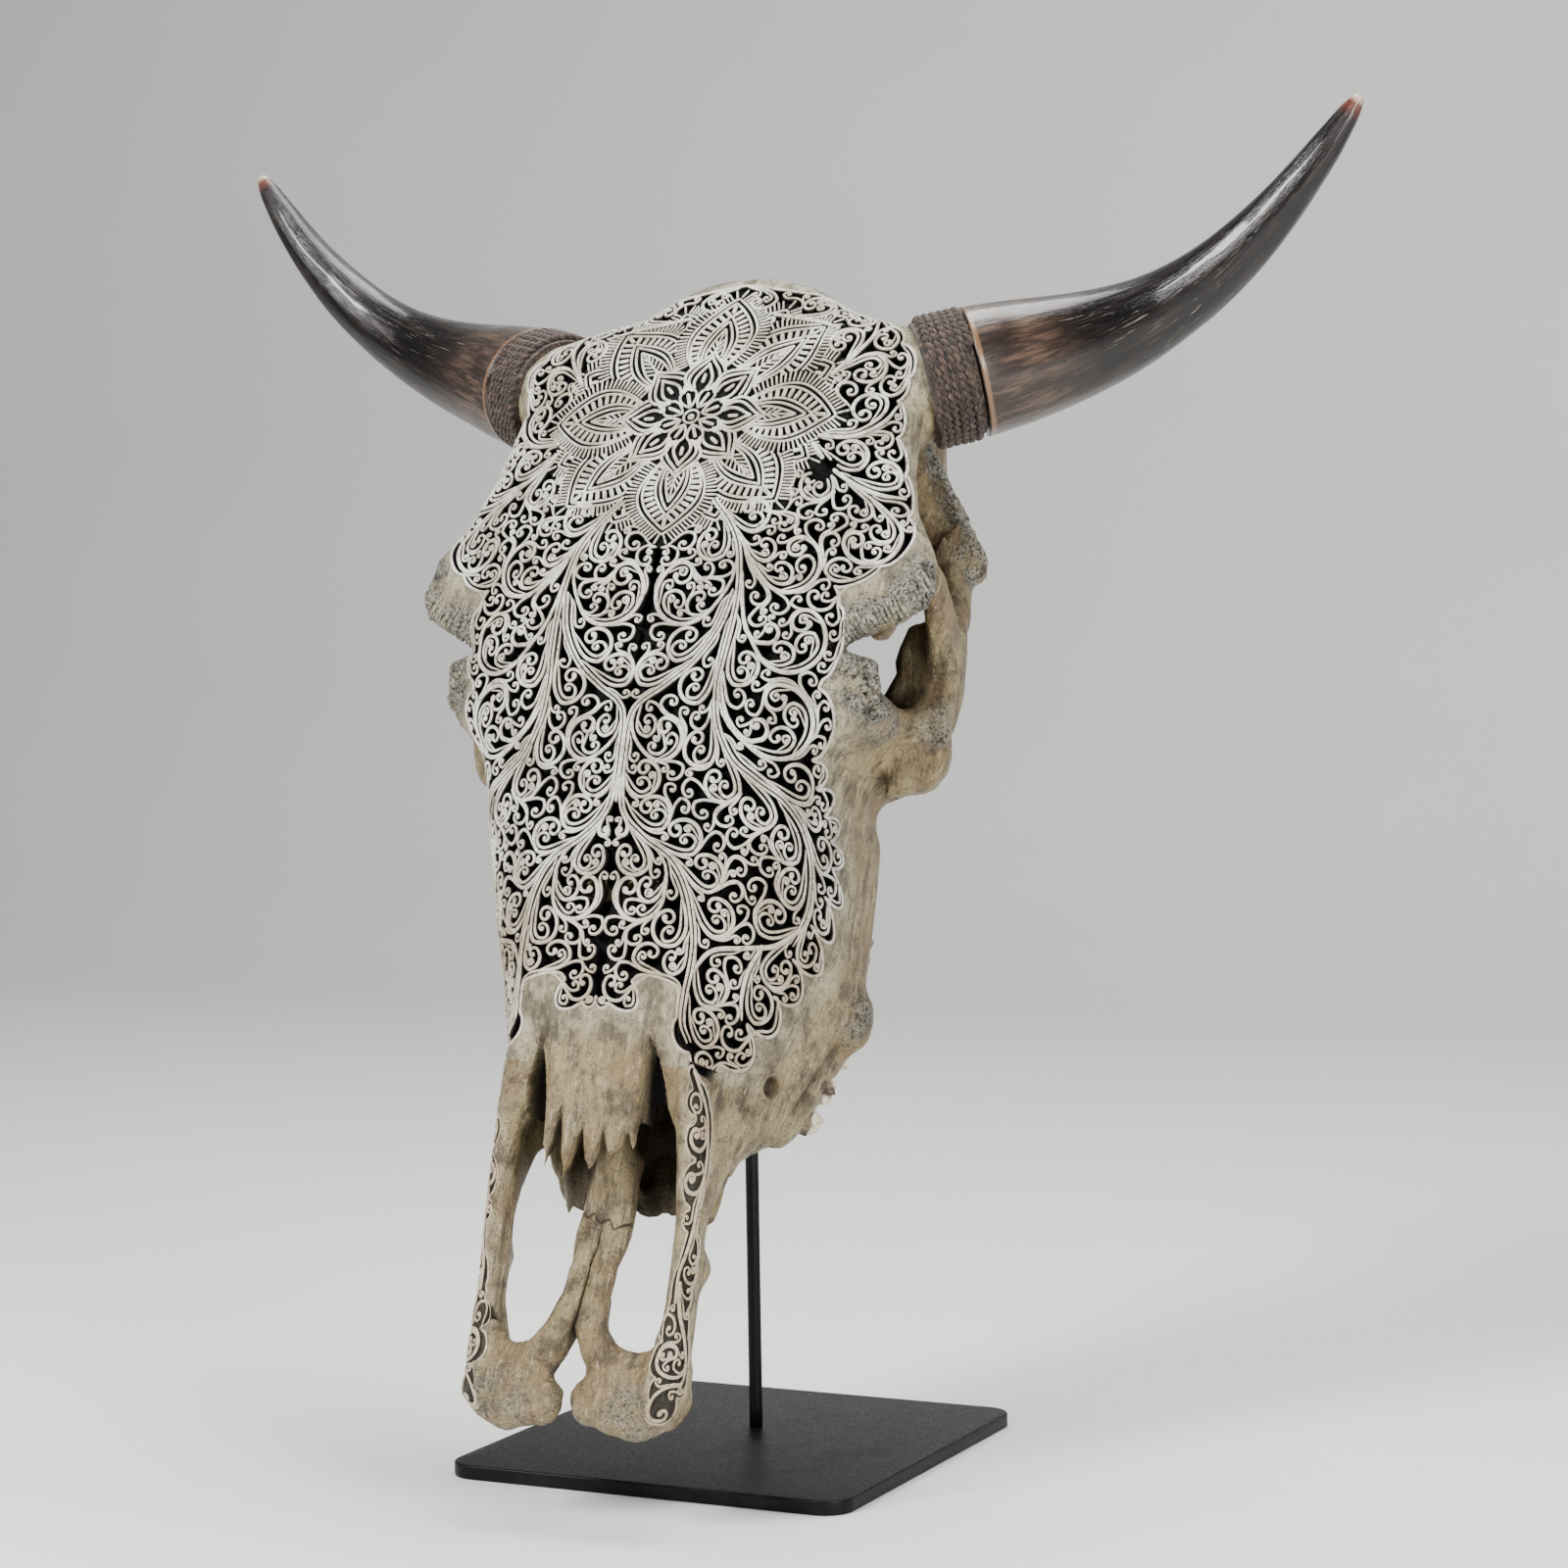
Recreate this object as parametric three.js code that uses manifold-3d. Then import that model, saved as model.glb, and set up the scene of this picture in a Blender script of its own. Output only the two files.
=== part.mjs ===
// A carved bull skull on a steel display stand. Millimetres, +Z up, -Y to the front, +X to the viewer's right.
// The origin is the centre of the base plate's underside.
//
// The bone is described in its own frame, before it is leaned back on the stand: x across, y from the
// forehead back to the throat, z along the skull from the front teeth pad (0) to the poll (490).
import * as THREE from "three";
import { mergeVertices } from "three/addons/utils/BufferGeometryUtils.js";
import Module from "manifold-3d";

const wasm = await Module();
wasm.setup();

// Driving dimensions
const leanDegrees = 23.2;
const gap = 0.35;
const cutGap = 0.75;

const plate = { width: 180, depth: 180, thick: 6, corner: 12 };
const rod = { radius: 2.8, y: 18, socketDepth: 3, top: 350 };
const skullLift = 52;
const skullBack = -198;

// The horn follows a cubic curve in the bone's frame; the radii are [share of the length, millimetres].
const horn = {
  curve: [[102.5, 51.5, 455], [157.2, 73.7, 479.7], [202.1, 58.1, 477.7], [258.2, 33.7, 558.4]],
  radii: [[0, 27.2], [0.12, 25.2], [0.25, 21.9], [0.5, 15.3], [0.75, 10.7], [0.93, 6.6], [1, 1.2]],
  rings: 12,
  sides: 18,
};
const wrap = { inner: 24, cord: 3.7, rows: 6, sides: 20 };
const teeth = [
  { z: 149, x: 55, long: 12, wide: 12, reach: 107 },
  { z: 163, x: 59, long: 14, wide: 13, reach: 107 },
  { z: 179, x: 62, long: 16, wide: 15, reach: 108 },
  { z: 200, x: 63, long: 19, wide: 16, reach: 109 },
  { z: 223, x: 63, long: 20, wide: 16, reach: 110 },
  { z: 246, x: 61, long: 19, wide: 14, reach: 110 },
];
const toothRoot = 90;

const wall = 9;
const cell = 5;
const boneTriangles = 6600;

// Small tools for a soft field: negative inside, positive outside, in millimetres.
const mix = (a, b, t) => a + (b - a) * t;
const clamp = THREE.MathUtils.clamp;

// A smooth curve through [place, value] pairs.
function along(knots) {
  const slope = knots.map((k, i) => {
    const a = knots[Math.max(i - 1, 0)];
    const b = knots[Math.min(i + 1, knots.length - 1)];
    return (b[1] - a[1]) / (b[0] - a[0]);
  });
  return (z) => {
    if (z <= knots[0][0]) return knots[0][1];
    const last = knots.length - 1;
    if (z >= knots[last][0]) return knots[last][1];
    let i = 0;
    while (z > knots[i + 1][0]) i++;
    const h = knots[i + 1][0] - knots[i][0];
    const t = (z - knots[i][0]) / h;
    const t2 = t * t;
    const t3 = t2 * t;
    return (
      (2 * t3 - 3 * t2 + 1) * knots[i][1] +
      (t3 - 2 * t2 + t) * h * slope[i] +
      (3 * t2 - 2 * t3) * knots[i + 1][1] +
      (t3 - t2) * h * slope[i + 1]
    );
  };
}

const softMin = (a, b, k) => {
  const h = Math.max(k - Math.abs(a - b), 0) / k;
  return Math.min(a, b) - (h * h * k) / 4;
};
const softMax = (a, b, k) => -softMin(-a, -b, k);

const ellipsoid = (cx, cy, cz, rx, ry, rz) => (x, y, z) => {
  const a = (x - cx) / rx;
  const b = (y - cy) / ry;
  const c = (z - cz) / rz;
  const reach = Math.hypot(a, b, c);
  const steep = Math.hypot(a / rx, b / ry, c / rz);
  return steep < 1e-9 ? -Math.min(rx, ry, rz) : (reach * (reach - 1)) / steep;
};

// A limb follows [x, y, z, radius] stations; flat squeezes its section along one axis.
const limb = (stations, flat = [1, 1, 1]) => (x, y, z) => {
  let nearest = Infinity;
  const [fx, fy, fz] = flat;
  for (let i = 0; i + 1 < stations.length; i++) {
    const [ax, ay, az, ar] = stations[i];
    const [bx, by, bz, br] = stations[i + 1];
    const ux = (bx - ax) / fx;
    const uy = (by - ay) / fy;
    const uz = (bz - az) / fz;
    const px = (x - ax) / fx;
    const py = (y - ay) / fy;
    const pz = (z - az) / fz;
    const t = clamp((px * ux + py * uy + pz * uz) / (ux * ux + uy * uy + uz * uz), 0, 1);
    const d = Math.hypot(px - ux * t, py - uy * t, pz - uz * t) - mix(ar, br, t);
    nearest = Math.min(nearest, d);
  }
  return nearest * Math.min(fx, fy, fz);
};

// The bone

// Half sections across the head, each from the middle of the face round the side to the middle of the palate.
const sections = [
  [122, [[0, 22], [14, 23], [27, 29], [37, 38], [44, 50], [48, 61], [49, 72], [44, 82], [32, 84], [0, 82]]],
  [150, [[0, 18], [17, 18.5], [32, 24], [43, 34], [51, 46], [57, 60], [60, 78], [57, 97], [46, 99], [0, 88]]],
  [188, [[0, 12], [22, 13], [38, 18], [50, 27], [59, 41], [67, 58], [74, 80], [71, 101], [50, 103], [0, 92]]],
  [225, [[0, 6], [28, 8], [45, 13], [59, 22], [68, 34], [74, 52], [76, 80], [72, 101], [52, 104], [0, 98]]],
  [252, [[0, 2], [32, 4], [52, 9], [66, 19], [74, 34], [76, 55], [76, 82], [72, 99], [53, 105], [0, 102]]],
  [276, [[0, 0], [37, 1], [58, 5], [71, 13], [78, 24], [80, 42], [78, 66], [70, 90], [46, 104], [0, 104]]],
  [295, [[0, -1], [46, -1], [70, 5], [88, 14], [97, 26], [95, 40], [86, 58], [70, 80], [42, 100], [0, 108]]],
  [310, [[0, -1], [50, -1], [76, 5], [94, 13], [99, 21], [84, 32], [64, 52], [54, 74], [42, 96], [0, 111]]],
  [332, [[0, 0], [50, -0.5], [80, 5], [107, 13], [112, 19], [86, 29], [54, 46], [44, 68], [38, 96], [0, 116]]],
  [352, [[0, 0], [50, 0], [80, 5.5], [105, 14], [110, 21], [84, 33], [50, 50], [40, 70], [36, 98], [0, 120]]],
  [376, [[0, 1], [50, 2], [80, 8], [99, 16], [102, 25], [80, 40], [58, 58], [54, 80], [42, 112], [0, 124]]],
  [400, [[0, 4], [50, 5], [78, 11], [93, 20], [95, 30], [76, 46], [64, 64], [62, 98], [44, 128], [0, 132]]],
  [425, [[0, 8], [50, 9], [76, 15], [90, 25], [91, 36], [82, 52], [70, 70], [72, 104], [48, 134], [0, 136]]],
  [450, [[0, 16], [46, 18], [68, 24], [80, 34], [84, 48], [80, 64], [72, 84], [68, 110], [46, 132], [0, 134]]],
  [470, [[0, 25], [40, 28], [58, 36], [68, 46], [72, 60], [72, 76], [67, 92], [60, 110], [42, 124], [0, 124]]],
  [500, [[0, 37], [20, 39], [34, 47], [40, 56], [42, 66], [42, 76], [40, 92], [38, 100], [30, 110], [0, 110]]],
];
const outline = sections[0][1].map((_, i) => [0, 1].map((axis) => along(sections.map((s) => [s[0], s[1][i][axis]]))));
const sectionCache = { z: NaN, points: [] };

// The section at one height, rounded between its ten guide points.
function sectionAt(z) {
  const guides = outline.map(([atX, atY], i) => [i, atX(z), atY(z)]);
  const curveX = along(guides.map(([i, gx]) => [i, gx]));
  const curveY = along(guides.map(([i, , gy]) => [i, gy]));
  const steps = 3 * (guides.length - 1);
  return Array.from({ length: steps + 1 }, (_, i) => [Math.max(curveX(i / 3), 0), curveY(i / 3)]);
}

function head(x, y, z) {
  if (sectionCache.z !== z) {
    sectionCache.z = z;
    sectionCache.points = sectionAt(z);
  }
  const points = sectionCache.points;
  let nearest = Infinity;
  let inside = false;
  for (let i = 0; i < points.length; i++) {
    const [ax, ay] = points[i];
    const [bx, by] = points[(i + 1) % points.length];
    if (ay > y !== by > y && x < ((bx - ax) * (y - ay)) / (by - ay) + ax) inside = !inside;
    if (i === points.length - 1) break;
    const ux = bx - ax;
    const uy = by - ay;
    const t = clamp(((x - ax) * ux + (y - ay) * uy) / (ux * ux + uy * uy), 0, 1);
    nearest = Math.min(nearest, Math.hypot(x - ax - ux * t, y - ay - uy * t));
  }
  let d = inside ? -nearest : nearest;
  d = softMax(d, 127 - z, 10);
  const crest = (z - 499 + 0.0078 * x * x) * 0.93;
  const nape = (z - 495) * 0.9 + (y - 40) * 0.43;
  return softMax(softMax(d, nape, 8), crest, 10);
}

const orbit = ellipsoid(112, 44, 325, 62, 28, 23);
const orbitNotch = limb([[77, 10, 317, 2], [92, 14, 320, 5], [114, 18, 324, 9]], [1, 3, 1]);
const orbitBack = ellipsoid(76, 78, 348, 28, 34, 34);
const temple = ellipsoid(110, 72, 396, 46, 34, 34);
const browRim = limb([[110, 19, 358, 4.5], [111, 18, 341, 4], [97, 15, 329, 3.5], [82, 12, 323, 3]]);
const tearRim = limb([[80, 17, 310, 3.5], [85, 27, 308, 4], [89, 38, 304, 5], [90, 50, 301, 6], [96, 64, 301, 8],
  [99, 73, 312, 7]]);
const cheekbone = limb([[80, 80, 286, 8], [92, 77, 297, 8], [97, 75, 306, 8], [100, 74, 322, 6]], [0.9, 1.4, 1]);
const arch = limb([[100, 74, 322, 6], [100, 80, 346, 5.5], [93, 92, 372, 6], [82, 101, 391, 8]], [0.8, 1.4, 1]);
const eyeBar = limb([[104, 22, 360, 7], [105, 42, 354, 7], [102.5, 60, 343, 9], [100, 72, 326, 9]], [0.6, 1.4, 1.3]);
const archRoot = limb([[52, 104, 406, 14], [84, 101, 394, 9]], [1, 0.9, 1]);
const earKnob = ellipsoid(81, 102, 392, 12, 10, 11);
const sideRidge = limb([[67, 62, 436, 6], [70, 82, 420, 5.5], [75, 98, 402, 6]]);
const hornAt = new THREE.Vector3(102.5, 51.5, 455);
const hornOut = new THREE.Vector3(54.7, 22.2, 24.7).normalize();
const onHorn = (distance, radius) => [...hornAt.clone().addScaledVector(hornOut, distance).toArray(), radius];
const hornRoot = limb([[58, 46, 446, 30], onHorn(-22, wrap.inner - cutGap), onHorn(6, wrap.inner - cutGap)]);
const cheekKnob = ellipsoid(74, 94, 188, 8.5, 8, 13);
const toothRidge = limb([[53, 90, 146, 8.5], [60, 95, 178, 10], [62, 97, 262, 9]]);
const condyle = limb([[15, 118, 458, 9], [27, 132, 450, 14], [34, 136, 438, 12]]);
const throatSpur = limb([[58, 122, 426, 11], [58, 146, 420, 7], [55, 164, 412, 4]]);
const bulla = limb([[42, 118, 396, 11], [40, 132, 378, 8]], [0.8, 1, 1.2]);
const wing = limb([[26, 104, 290, 6], [26, 124, 312, 6], [24, 130, 345, 9]], [0.8, 1, 1]);

const noseTop = along([[95, 27], [130, 21], [175, 14], [230, 5], [300, -1]]);
const noseHalf = along([[100, 40], [150, 44], [200, 46], [250, 38], [300, 18]]);
function noseHollow(x, y, z) {
  const half = noseHalf(z) * clamp(0.45 + (y - noseTop(z)) / 70, 0.45, 1);
  let d = softMax(x - half, noseTop(z) + 8 - y, 8);
  d = softMax(d, y - mix(73, 86, clamp((z - 100) / 130, 0, 1)), 8);
  return softMax(d, z - 300, 16);
}
const sinusFloor = along([[140, 64], [200, 80], [262, 82], [300, 58], [330, 46], [380, 42], [430, 50], [474, 66]]);
const brainHollow = ellipsoid(0, 86, 414, 43, 34, 38);

// The hollow behind the face, open to the nose, keeps a wall to the outside and to the eye sockets.
function sinus(x, y, z, outside) {
  let d = softMax(outside + wall, y - sinusFloor(z), 8);
  for (const room of [orbit, orbitNotch, orbitBack, temple]) d = softMax(d, wall + 2 - room(x, y, z), 6);
  d = softMax(d, brainHollow(x, y, z) < 0 ? 6 : 6 - brainHollow(x, y, z), 4);
  return softMax(softMax(d, 134 - z, 6), z - 474, 6);
}
const mouthHollow = ellipsoid(0, 112, 190, 42, 13, 92);
const noseSlit = limb([[27, 15, 154, 4.5], [27, 22, 120, 13], [27, 30, 96, 16]]);
const throatHollow = ellipsoid(0, 112, 300, 17, 22, 30);
const brainHole = limb([[0, 130, 478, 17], [0, 108, 438, 16]]);

// The snout: nasal bones with four prongs, and the two front jaw bones with their openings.
const nasals = (x, y, z) => {
  const sunk = 5 * clamp((z - 150) / 45, 0, 1);
  const depth = y - noseTop(z) - 0.012 * x * x - sunk;
  const half = mix(21, 27, clamp((z - 110) / 70, 0, 1));
  const end = Math.min(100 + 2.4 * Math.abs(x - 6.5), 109 + 2.4 * Math.abs(x - 18));
  let d = softMax(x - half, Math.abs(depth - 3.2) - 3.2, 4);
  d = softMax(d, (end - z) * 0.5, 2);
  return softMax(d, z - 200, 6);
};
const outerBar = limb([[38, 53, 24, 11], [42, 49, 55, 7], [42.5, 44, 95, 7], [40, 36, 130, 7.5], [36, 27, 158, 7],
  [31, 20, 190, 6]], [0.8, 1.15, 1]);
const snoutSide = limb([[43, 48, 100, 5], [44, 56, 121, 7], [48, 71, 145, 11.5]], [0.75, 1.3, 1]);
const frontPad = limb([[13, 50, 18, 9], [28, 53, 17, 11], [37, 54, 26, 11]], [1, 0.7, 1]);
const innerBar = limb([[20, 54, 34, 9], [14, 60, 60, 7.5], [8, 67, 92, 7.5], [5, 66, 116, 7]], [1, 0.8, 1]);
const barSpur = ellipsoid(44.5, 57, 76, 4, 5, 8);
const palateShelf = limb([[0, 83, 112, 7.5], [28, 80, 111, 7.5], [35, 74, 120, 6]], [1, 0.6, 2.1]);
const vomer = limb([[0, 68, 90, 7.5], [0, 58, 118, 7], [0, 56, 160, 6], [0, 62, 215, 5]], [1.1, 0.8, 1]);
const septum = limb([[0, 74, 114, 6], [0, 71, 160, 6.5], [0, 74, 215, 6]], [0.6, 2.4, 1]);

function bone(px, y, z) {
  const x = Math.abs(px);
  const outside = head(x, y, z);
  let d = softMax(outside, -temple(x, y, z), 10);
  d = softMax(d, -orbit(x, y, z), 6);
  d = softMax(d, -orbitBack(x, y, z), 8);
  d = softMax(d, -orbitNotch(x, y, z), 4);
  d = softMin(d, browRim(x, y, z), 6);
  d = softMin(d, tearRim(x, y, z), 6);
  d = softMin(d, cheekbone(x, y, z), 9);
  d = softMin(d, arch(x, y, z), 6);
  d = softMin(d, eyeBar(x, y, z), 6);
  d = softMin(d, archRoot(x, y, z), 8);
  d = softMin(d, earKnob(x, y, z), 6);
  d = softMin(d, sideRidge(x, y, z), 10);
  d = softMin(d, hornRoot(x, y, z), 10);
  d = softMin(d, cheekKnob(x, y, z), 8);
  d = softMin(d, toothRidge(x, y, z), 8);
  d = softMin(d, condyle(x, y, z), 6);
  d = softMin(d, throatSpur(x, y, z), 8);
  d = softMin(d, bulla(x, y, z), 6);
  d = softMax(d, -mouthHollow(x, y, z), 6);
  d = softMax(d, -throatHollow(x, y, z), 8);
  d = softMin(d, wing(x, y, z), 6);
  d = softMax(d, -noseHollow(x, y, z), 6);
  d = softMax(d, -noseSlit(x, y, z), 5);
  d = softMax(d, -sinus(x, y, z, outside), 5);
  d = softMax(d, -brainHollow(x, y, z), 5);
  d = softMax(d, -brainHole(x, y, z), 6);
  d = softMin(d, snoutSide(x, y, z), 8);
  d = softMin(d, outerBar(x, y, z), 5);
  d = softMin(d, barSpur(x, y, z), 4);
  d = softMin(d, nasals(x, y, z), 2);
  d = softMin(d, frontPad(x, y, z), 7);
  d = softMin(d, innerBar(x, y, z), 5);
  d = softMin(d, palateShelf(x, y, z), 6);
  d = softMin(d, vomer(x, y, z), 5);
  return softMin(d, septum(x, y, z), 4);
}

// Marching tetrahedra: every box of the grid is cut into six tetrahedra round one diagonal.
function surfaceOf(field, low, high, step) {
  const n = [0, 1, 2].map((k) => Math.ceil((high[k] - low[k]) / step) + 1);
  const id = (i, j, k) => (k * n[1] + j) * n[0] + i;
  const values = new Float64Array(n[0] * n[1] * n[2]);
  for (let k = 0; k < n[2]; k++)
    for (let j = 0; j < n[1]; j++)
      for (let i = 0; i < n[0]; i++) {
        const v = field(low[0] + i * step, low[1] + j * step, low[2] + k * step);
        values[id(i, j, k)] = Math.abs(v) < 0.05 ? (v < 0 ? -0.05 : 0.05) : v;
      }
  const place = (a) => {
    const i = a % n[0];
    const j = Math.floor(a / n[0]) % n[1];
    const k = Math.floor(a / (n[0] * n[1]));
    return [low[0] + i * step, low[1] + j * step, low[2] + k * step];
  };
  const points = [];
  const faces = [];
  const known = new Map();
  const crossing = (a, b) => {
    const key = a < b ? a * values.length + b : b * values.length + a;
    let made = known.get(key);
    if (made === undefined) {
      const t = values[a] / (values[a] - values[b]);
      const p = place(a);
      const q = place(b);
      made = points.length;
      points.push([mix(p[0], q[0], t), mix(p[1], q[1], t), mix(p[2], q[2], t)]);
      known.set(key, made);
    }
    return made;
  };
  const orders = [[0, 1, 2], [1, 2, 0], [2, 0, 1], [0, 2, 1], [2, 1, 0], [1, 0, 2]];
  const emit = (a, b, c, inner) => {
    const [p, q, r] = [points[a], points[b], points[c]];
    const u = [q[0] - p[0], q[1] - p[1], q[2] - p[2]];
    const v = [r[0] - p[0], r[1] - p[1], r[2] - p[2]];
    const w = [p[0] - inner[0], p[1] - inner[1], p[2] - inner[2]];
    const turn = w[0] * (u[1] * v[2] - u[2] * v[1]) + w[1] * (u[2] * v[0] - u[0] * v[2]) +
      w[2] * (u[0] * v[1] - u[1] * v[0]);
    faces.push(turn > 0 ? [a, b, c] : [a, c, b]);
  };
  for (let k = 0; k + 1 < n[2]; k++)
    for (let j = 0; j + 1 < n[1]; j++)
      for (let i = 0; i + 1 < n[0]; i++)
        for (const order of orders) {
          const side = 2 * i + 1 < n[0] - 1 ? -1 : 1;
          const at = [side < 0 ? i + 1 : i, j, k];
          const corner = [id(...at)];
          for (const axis of order) {
            at[axis] += axis === 0 ? side : 1;
            corner.push(id(...at));
          }
          const inside = corner.filter((c) => values[c] < 0);
          const outside = corner.filter((c) => values[c] >= 0);
          if (!inside.length || !outside.length) continue;
          const inner = place(inside[0]);
          if (inside.length === 2) {
            const ring = [crossing(inside[0], outside[0]), crossing(inside[0], outside[1]),
              crossing(inside[1], outside[1]), crossing(inside[1], outside[0])];
            const middle = place(inside[1]).map((v, axis) => (v + inner[axis]) / 2);
            emit(ring[0], ring[1], ring[2], middle);
            emit(ring[0], ring[2], ring[3], middle);
          } else if (inside.length === 1) {
            emit(...outside.map((o) => crossing(inside[0], o)), inner);
          } else {
            const centre = [0, 1, 2].map((axis) => inside.reduce((s, c) => s + place(c)[axis], 0) / 3);
            emit(...inside.map((c) => crossing(c, outside[0])), centre);
          }
        }
  return { points, faces };
}

// Thins a closed mesh to about the wanted number of faces, folding the edges that matter least to its shape.
function thin({ points, faces }, wanted) {
  const quadric = points.map(() => new Float64Array(10));
  const around = points.map(() => new Set());
  const alive = faces.map(() => true);
  const normalOf = (p, q, r) => {
    const u = [q[0] - p[0], q[1] - p[1], q[2] - p[2]];
    const v = [r[0] - p[0], r[1] - p[1], r[2] - p[2]];
    return [u[1] * v[2] - u[2] * v[1], u[2] * v[0] - u[0] * v[2], u[0] * v[1] - u[1] * v[0]];
  };
  faces.forEach((f, index) => {
    const n = normalOf(...f.map((v) => points[v]));
    const size = Math.hypot(...n);
    for (const v of f) around[v].add(index);
    if (size < 1e-9) return;
    const [a, b, c] = n.map((v) => v / size);
    const p = points[f[0]];
    const d = -(a * p[0] + b * p[1] + c * p[2]);
    const row = [a * a, a * b, a * c, a * d, b * b, b * c, b * d, c * c, c * d, d * d];
    for (const v of f) row.forEach((value, i) => (quadric[v][i] += value * size));
  });
  const cost = (q, [x, y, z]) =>
    q[0] * x * x + 2 * q[1] * x * y + 2 * q[2] * x * z + 2 * q[3] * x + q[4] * y * y + 2 * q[5] * y * z +
    2 * q[6] * y + q[7] * z * z + 2 * q[8] * z + q[9];
  const solve = (q, fallback) => {
    const [a, b, c, d, e, f, g, h, i] = q;
    const det = a * (e * h - f * f) - b * (b * h - f * c) + c * (b * f - e * c);
    if (Math.abs(det) < 1e-3 * Math.pow(a + e + h, 3) / 27) return fallback;
    const m = [-d, -g, -i];
    return [
      (m[0] * (e * h - f * f) - b * (m[1] * h - f * m[2]) + c * (m[1] * f - e * m[2])) / det,
      (a * (m[1] * h - f * m[2]) - m[0] * (b * h - f * c) + c * (b * m[2] - m[1] * c)) / det,
      (a * (e * m[2] - m[1] * f) - b * (b * m[2] - m[1] * c) + m[0] * (b * f - e * c)) / det,
    ];
  };
  const version = new Uint32Array(points.length);
  const heap = [];
  const up = (at) => {
    while (at > 0) {
      const parent = (at - 1) >> 1;
      if (heap[parent].cost <= heap[at].cost) break;
      [heap[parent], heap[at]] = [heap[at], heap[parent]];
      at = parent;
    }
  };
  const pop = () => {
    const top = heap[0];
    const last = heap.pop();
    if (heap.length) {
      heap[0] = last;
      let at = 0;
      for (;;) {
        let least = at;
        for (const child of [2 * at + 1, 2 * at + 2])
          if (child < heap.length && heap[child].cost < heap[least].cost) least = child;
        if (least === at) break;
        [heap[least], heap[at]] = [heap[at], heap[least]];
        at = least;
      }
    }
    return top;
  };
  const offer = (a, b) => {
    const q = quadric[a].map((v, i) => v + quadric[b][i]);
    const middle = points[a].map((v, i) => (v + points[b][i]) / 2);
    let to = solve(q, middle);
    const length = Math.hypot(...points[a].map((v, i) => v - points[b][i]));
    if (Math.hypot(...to.map((v, i) => v - middle[i])) > length) to = middle;
    heap.push({ a, b, to, cost: Math.max(cost(q, to), 0) + 1e-4 * length, seen: version[a] + version[b] });
    up(heap.length - 1);
  };
  const neighbours = (v) => {
    const found = new Set();
    for (const f of around[v]) for (const w of faces[f]) if (w !== v) found.add(w);
    return found;
  };
  faces.forEach((f) => [0, 1, 2].forEach((i) => f[i] < f[(i + 1) % 3] && offer(f[i], f[(i + 1) % 3])));
  let count = faces.length;
  const gone = new Uint8Array(points.length);
  while (count > wanted && heap.length) {
    const { a, b, to, seen } = pop();
    if (gone[a] || gone[b] || seen !== version[a] + version[b]) continue;
    const nearA = neighbours(a);
    if (!nearA.has(b)) continue;
    const shared = [...neighbours(b)].filter((v) => nearA.has(v));
    if (shared.length !== 2) continue;
    const flips = [a, b].some((v) => [...around[v]].some((index) => {
      const f = faces[index];
      if (f.includes(a) && f.includes(b)) return false;
      const before = normalOf(...f.map((w) => points[w]));
      const after = normalOf(...f.map((w) => (w === v ? to : points[w])));
      const turn = before[0] * after[0] + before[1] * after[1] + before[2] * after[2];
      return turn < 0.3 * Math.hypot(...before) * Math.hypot(...after) || Math.hypot(...after) < 0.02;
    }));
    if (flips) continue;
    for (const index of [...around[b]]) {
      const f = faces[index];
      if (f.includes(a)) {
        alive[index] = false;
        count--;
        for (const v of f) around[v].delete(index);
      } else {
        faces[index] = f.map((v) => (v === b ? a : v));
        around[a].add(index);
      }
    }
    points[a] = to;
    gone[b] = 1;
    version[a]++;
    quadric[b].forEach((v, i) => (quadric[a][i] += v));
    for (const v of neighbours(a)) offer(Math.min(a, v), Math.max(a, v));
  }
  return { points, faces: faces.filter((f, i) => alive[i]) };
}

function geometryFrom({ points, faces }) {
  const g = new THREE.BufferGeometry();
  g.setAttribute("position", new THREE.BufferAttribute(new Float32Array(points.flat()), 3));
  g.setIndex(faces.flat());
  return g;
}

function solidFrom(geometry) {
  const bare = geometry.clone();
  bare.deleteAttribute("normal");
  bare.deleteAttribute("uv");
  const merged = mergeVertices(bare, 1e-3);
  return new wasm.Manifold(new wasm.Mesh({
    numProp: 3,
    vertProperties: merged.attributes.position.array,
    triVerts: new Uint32Array(merged.index.array),
  }));
}

function geometryOf(solid) {
  const { vertProperties, triVerts } = solid.getMesh();
  const g = new THREE.BufferGeometry();
  g.setAttribute("position", new THREE.BufferAttribute(new Float32Array(vertProperties), 3));
  g.setIndex(new THREE.BufferAttribute(new Uint32Array(triVerts), 1));
  return g;
}

const finish = (color, roughness, metalness = 0) => new THREE.MeshStandardMaterial({ color, roughness, metalness });
const boneFinish = finish(0xb9b2a3, 0.5);
const hornFinish = finish(0x2b211d, 0.25);
const cordFinish = finish(0x2a1d16, 0.85);
const toothFinish = finish(0xcfc7b0, 0.4);
const steelFinish = finish(0x17181a, 0.4, 0.9);

const sides = [["right", -1], ["left", 1]];
const mirrored = (solid, side) => (side < 0 ? solid.scale([-1, 1, 1]) : solid);

// A round solid on the horn's line: the profile is [distance along the line, radius] pairs.
function onHornLine(profile, segments) {
  const turned = new THREE.LatheGeometry(profile.map(([s, r]) => new THREE.Vector2(r, s)), segments);
  const aim = new THREE.Quaternion().setFromUnitVectors(new THREE.Vector3(0, 1, 0), hornOut);
  turned.applyMatrix4(new THREE.Matrix4().compose(hornAt, aim, new THREE.Vector3(1, 1, 1)));
  return solidFrom(turned);
}

const wrapStart = -wrap.rows * wrap.cord - 0.3;

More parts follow.
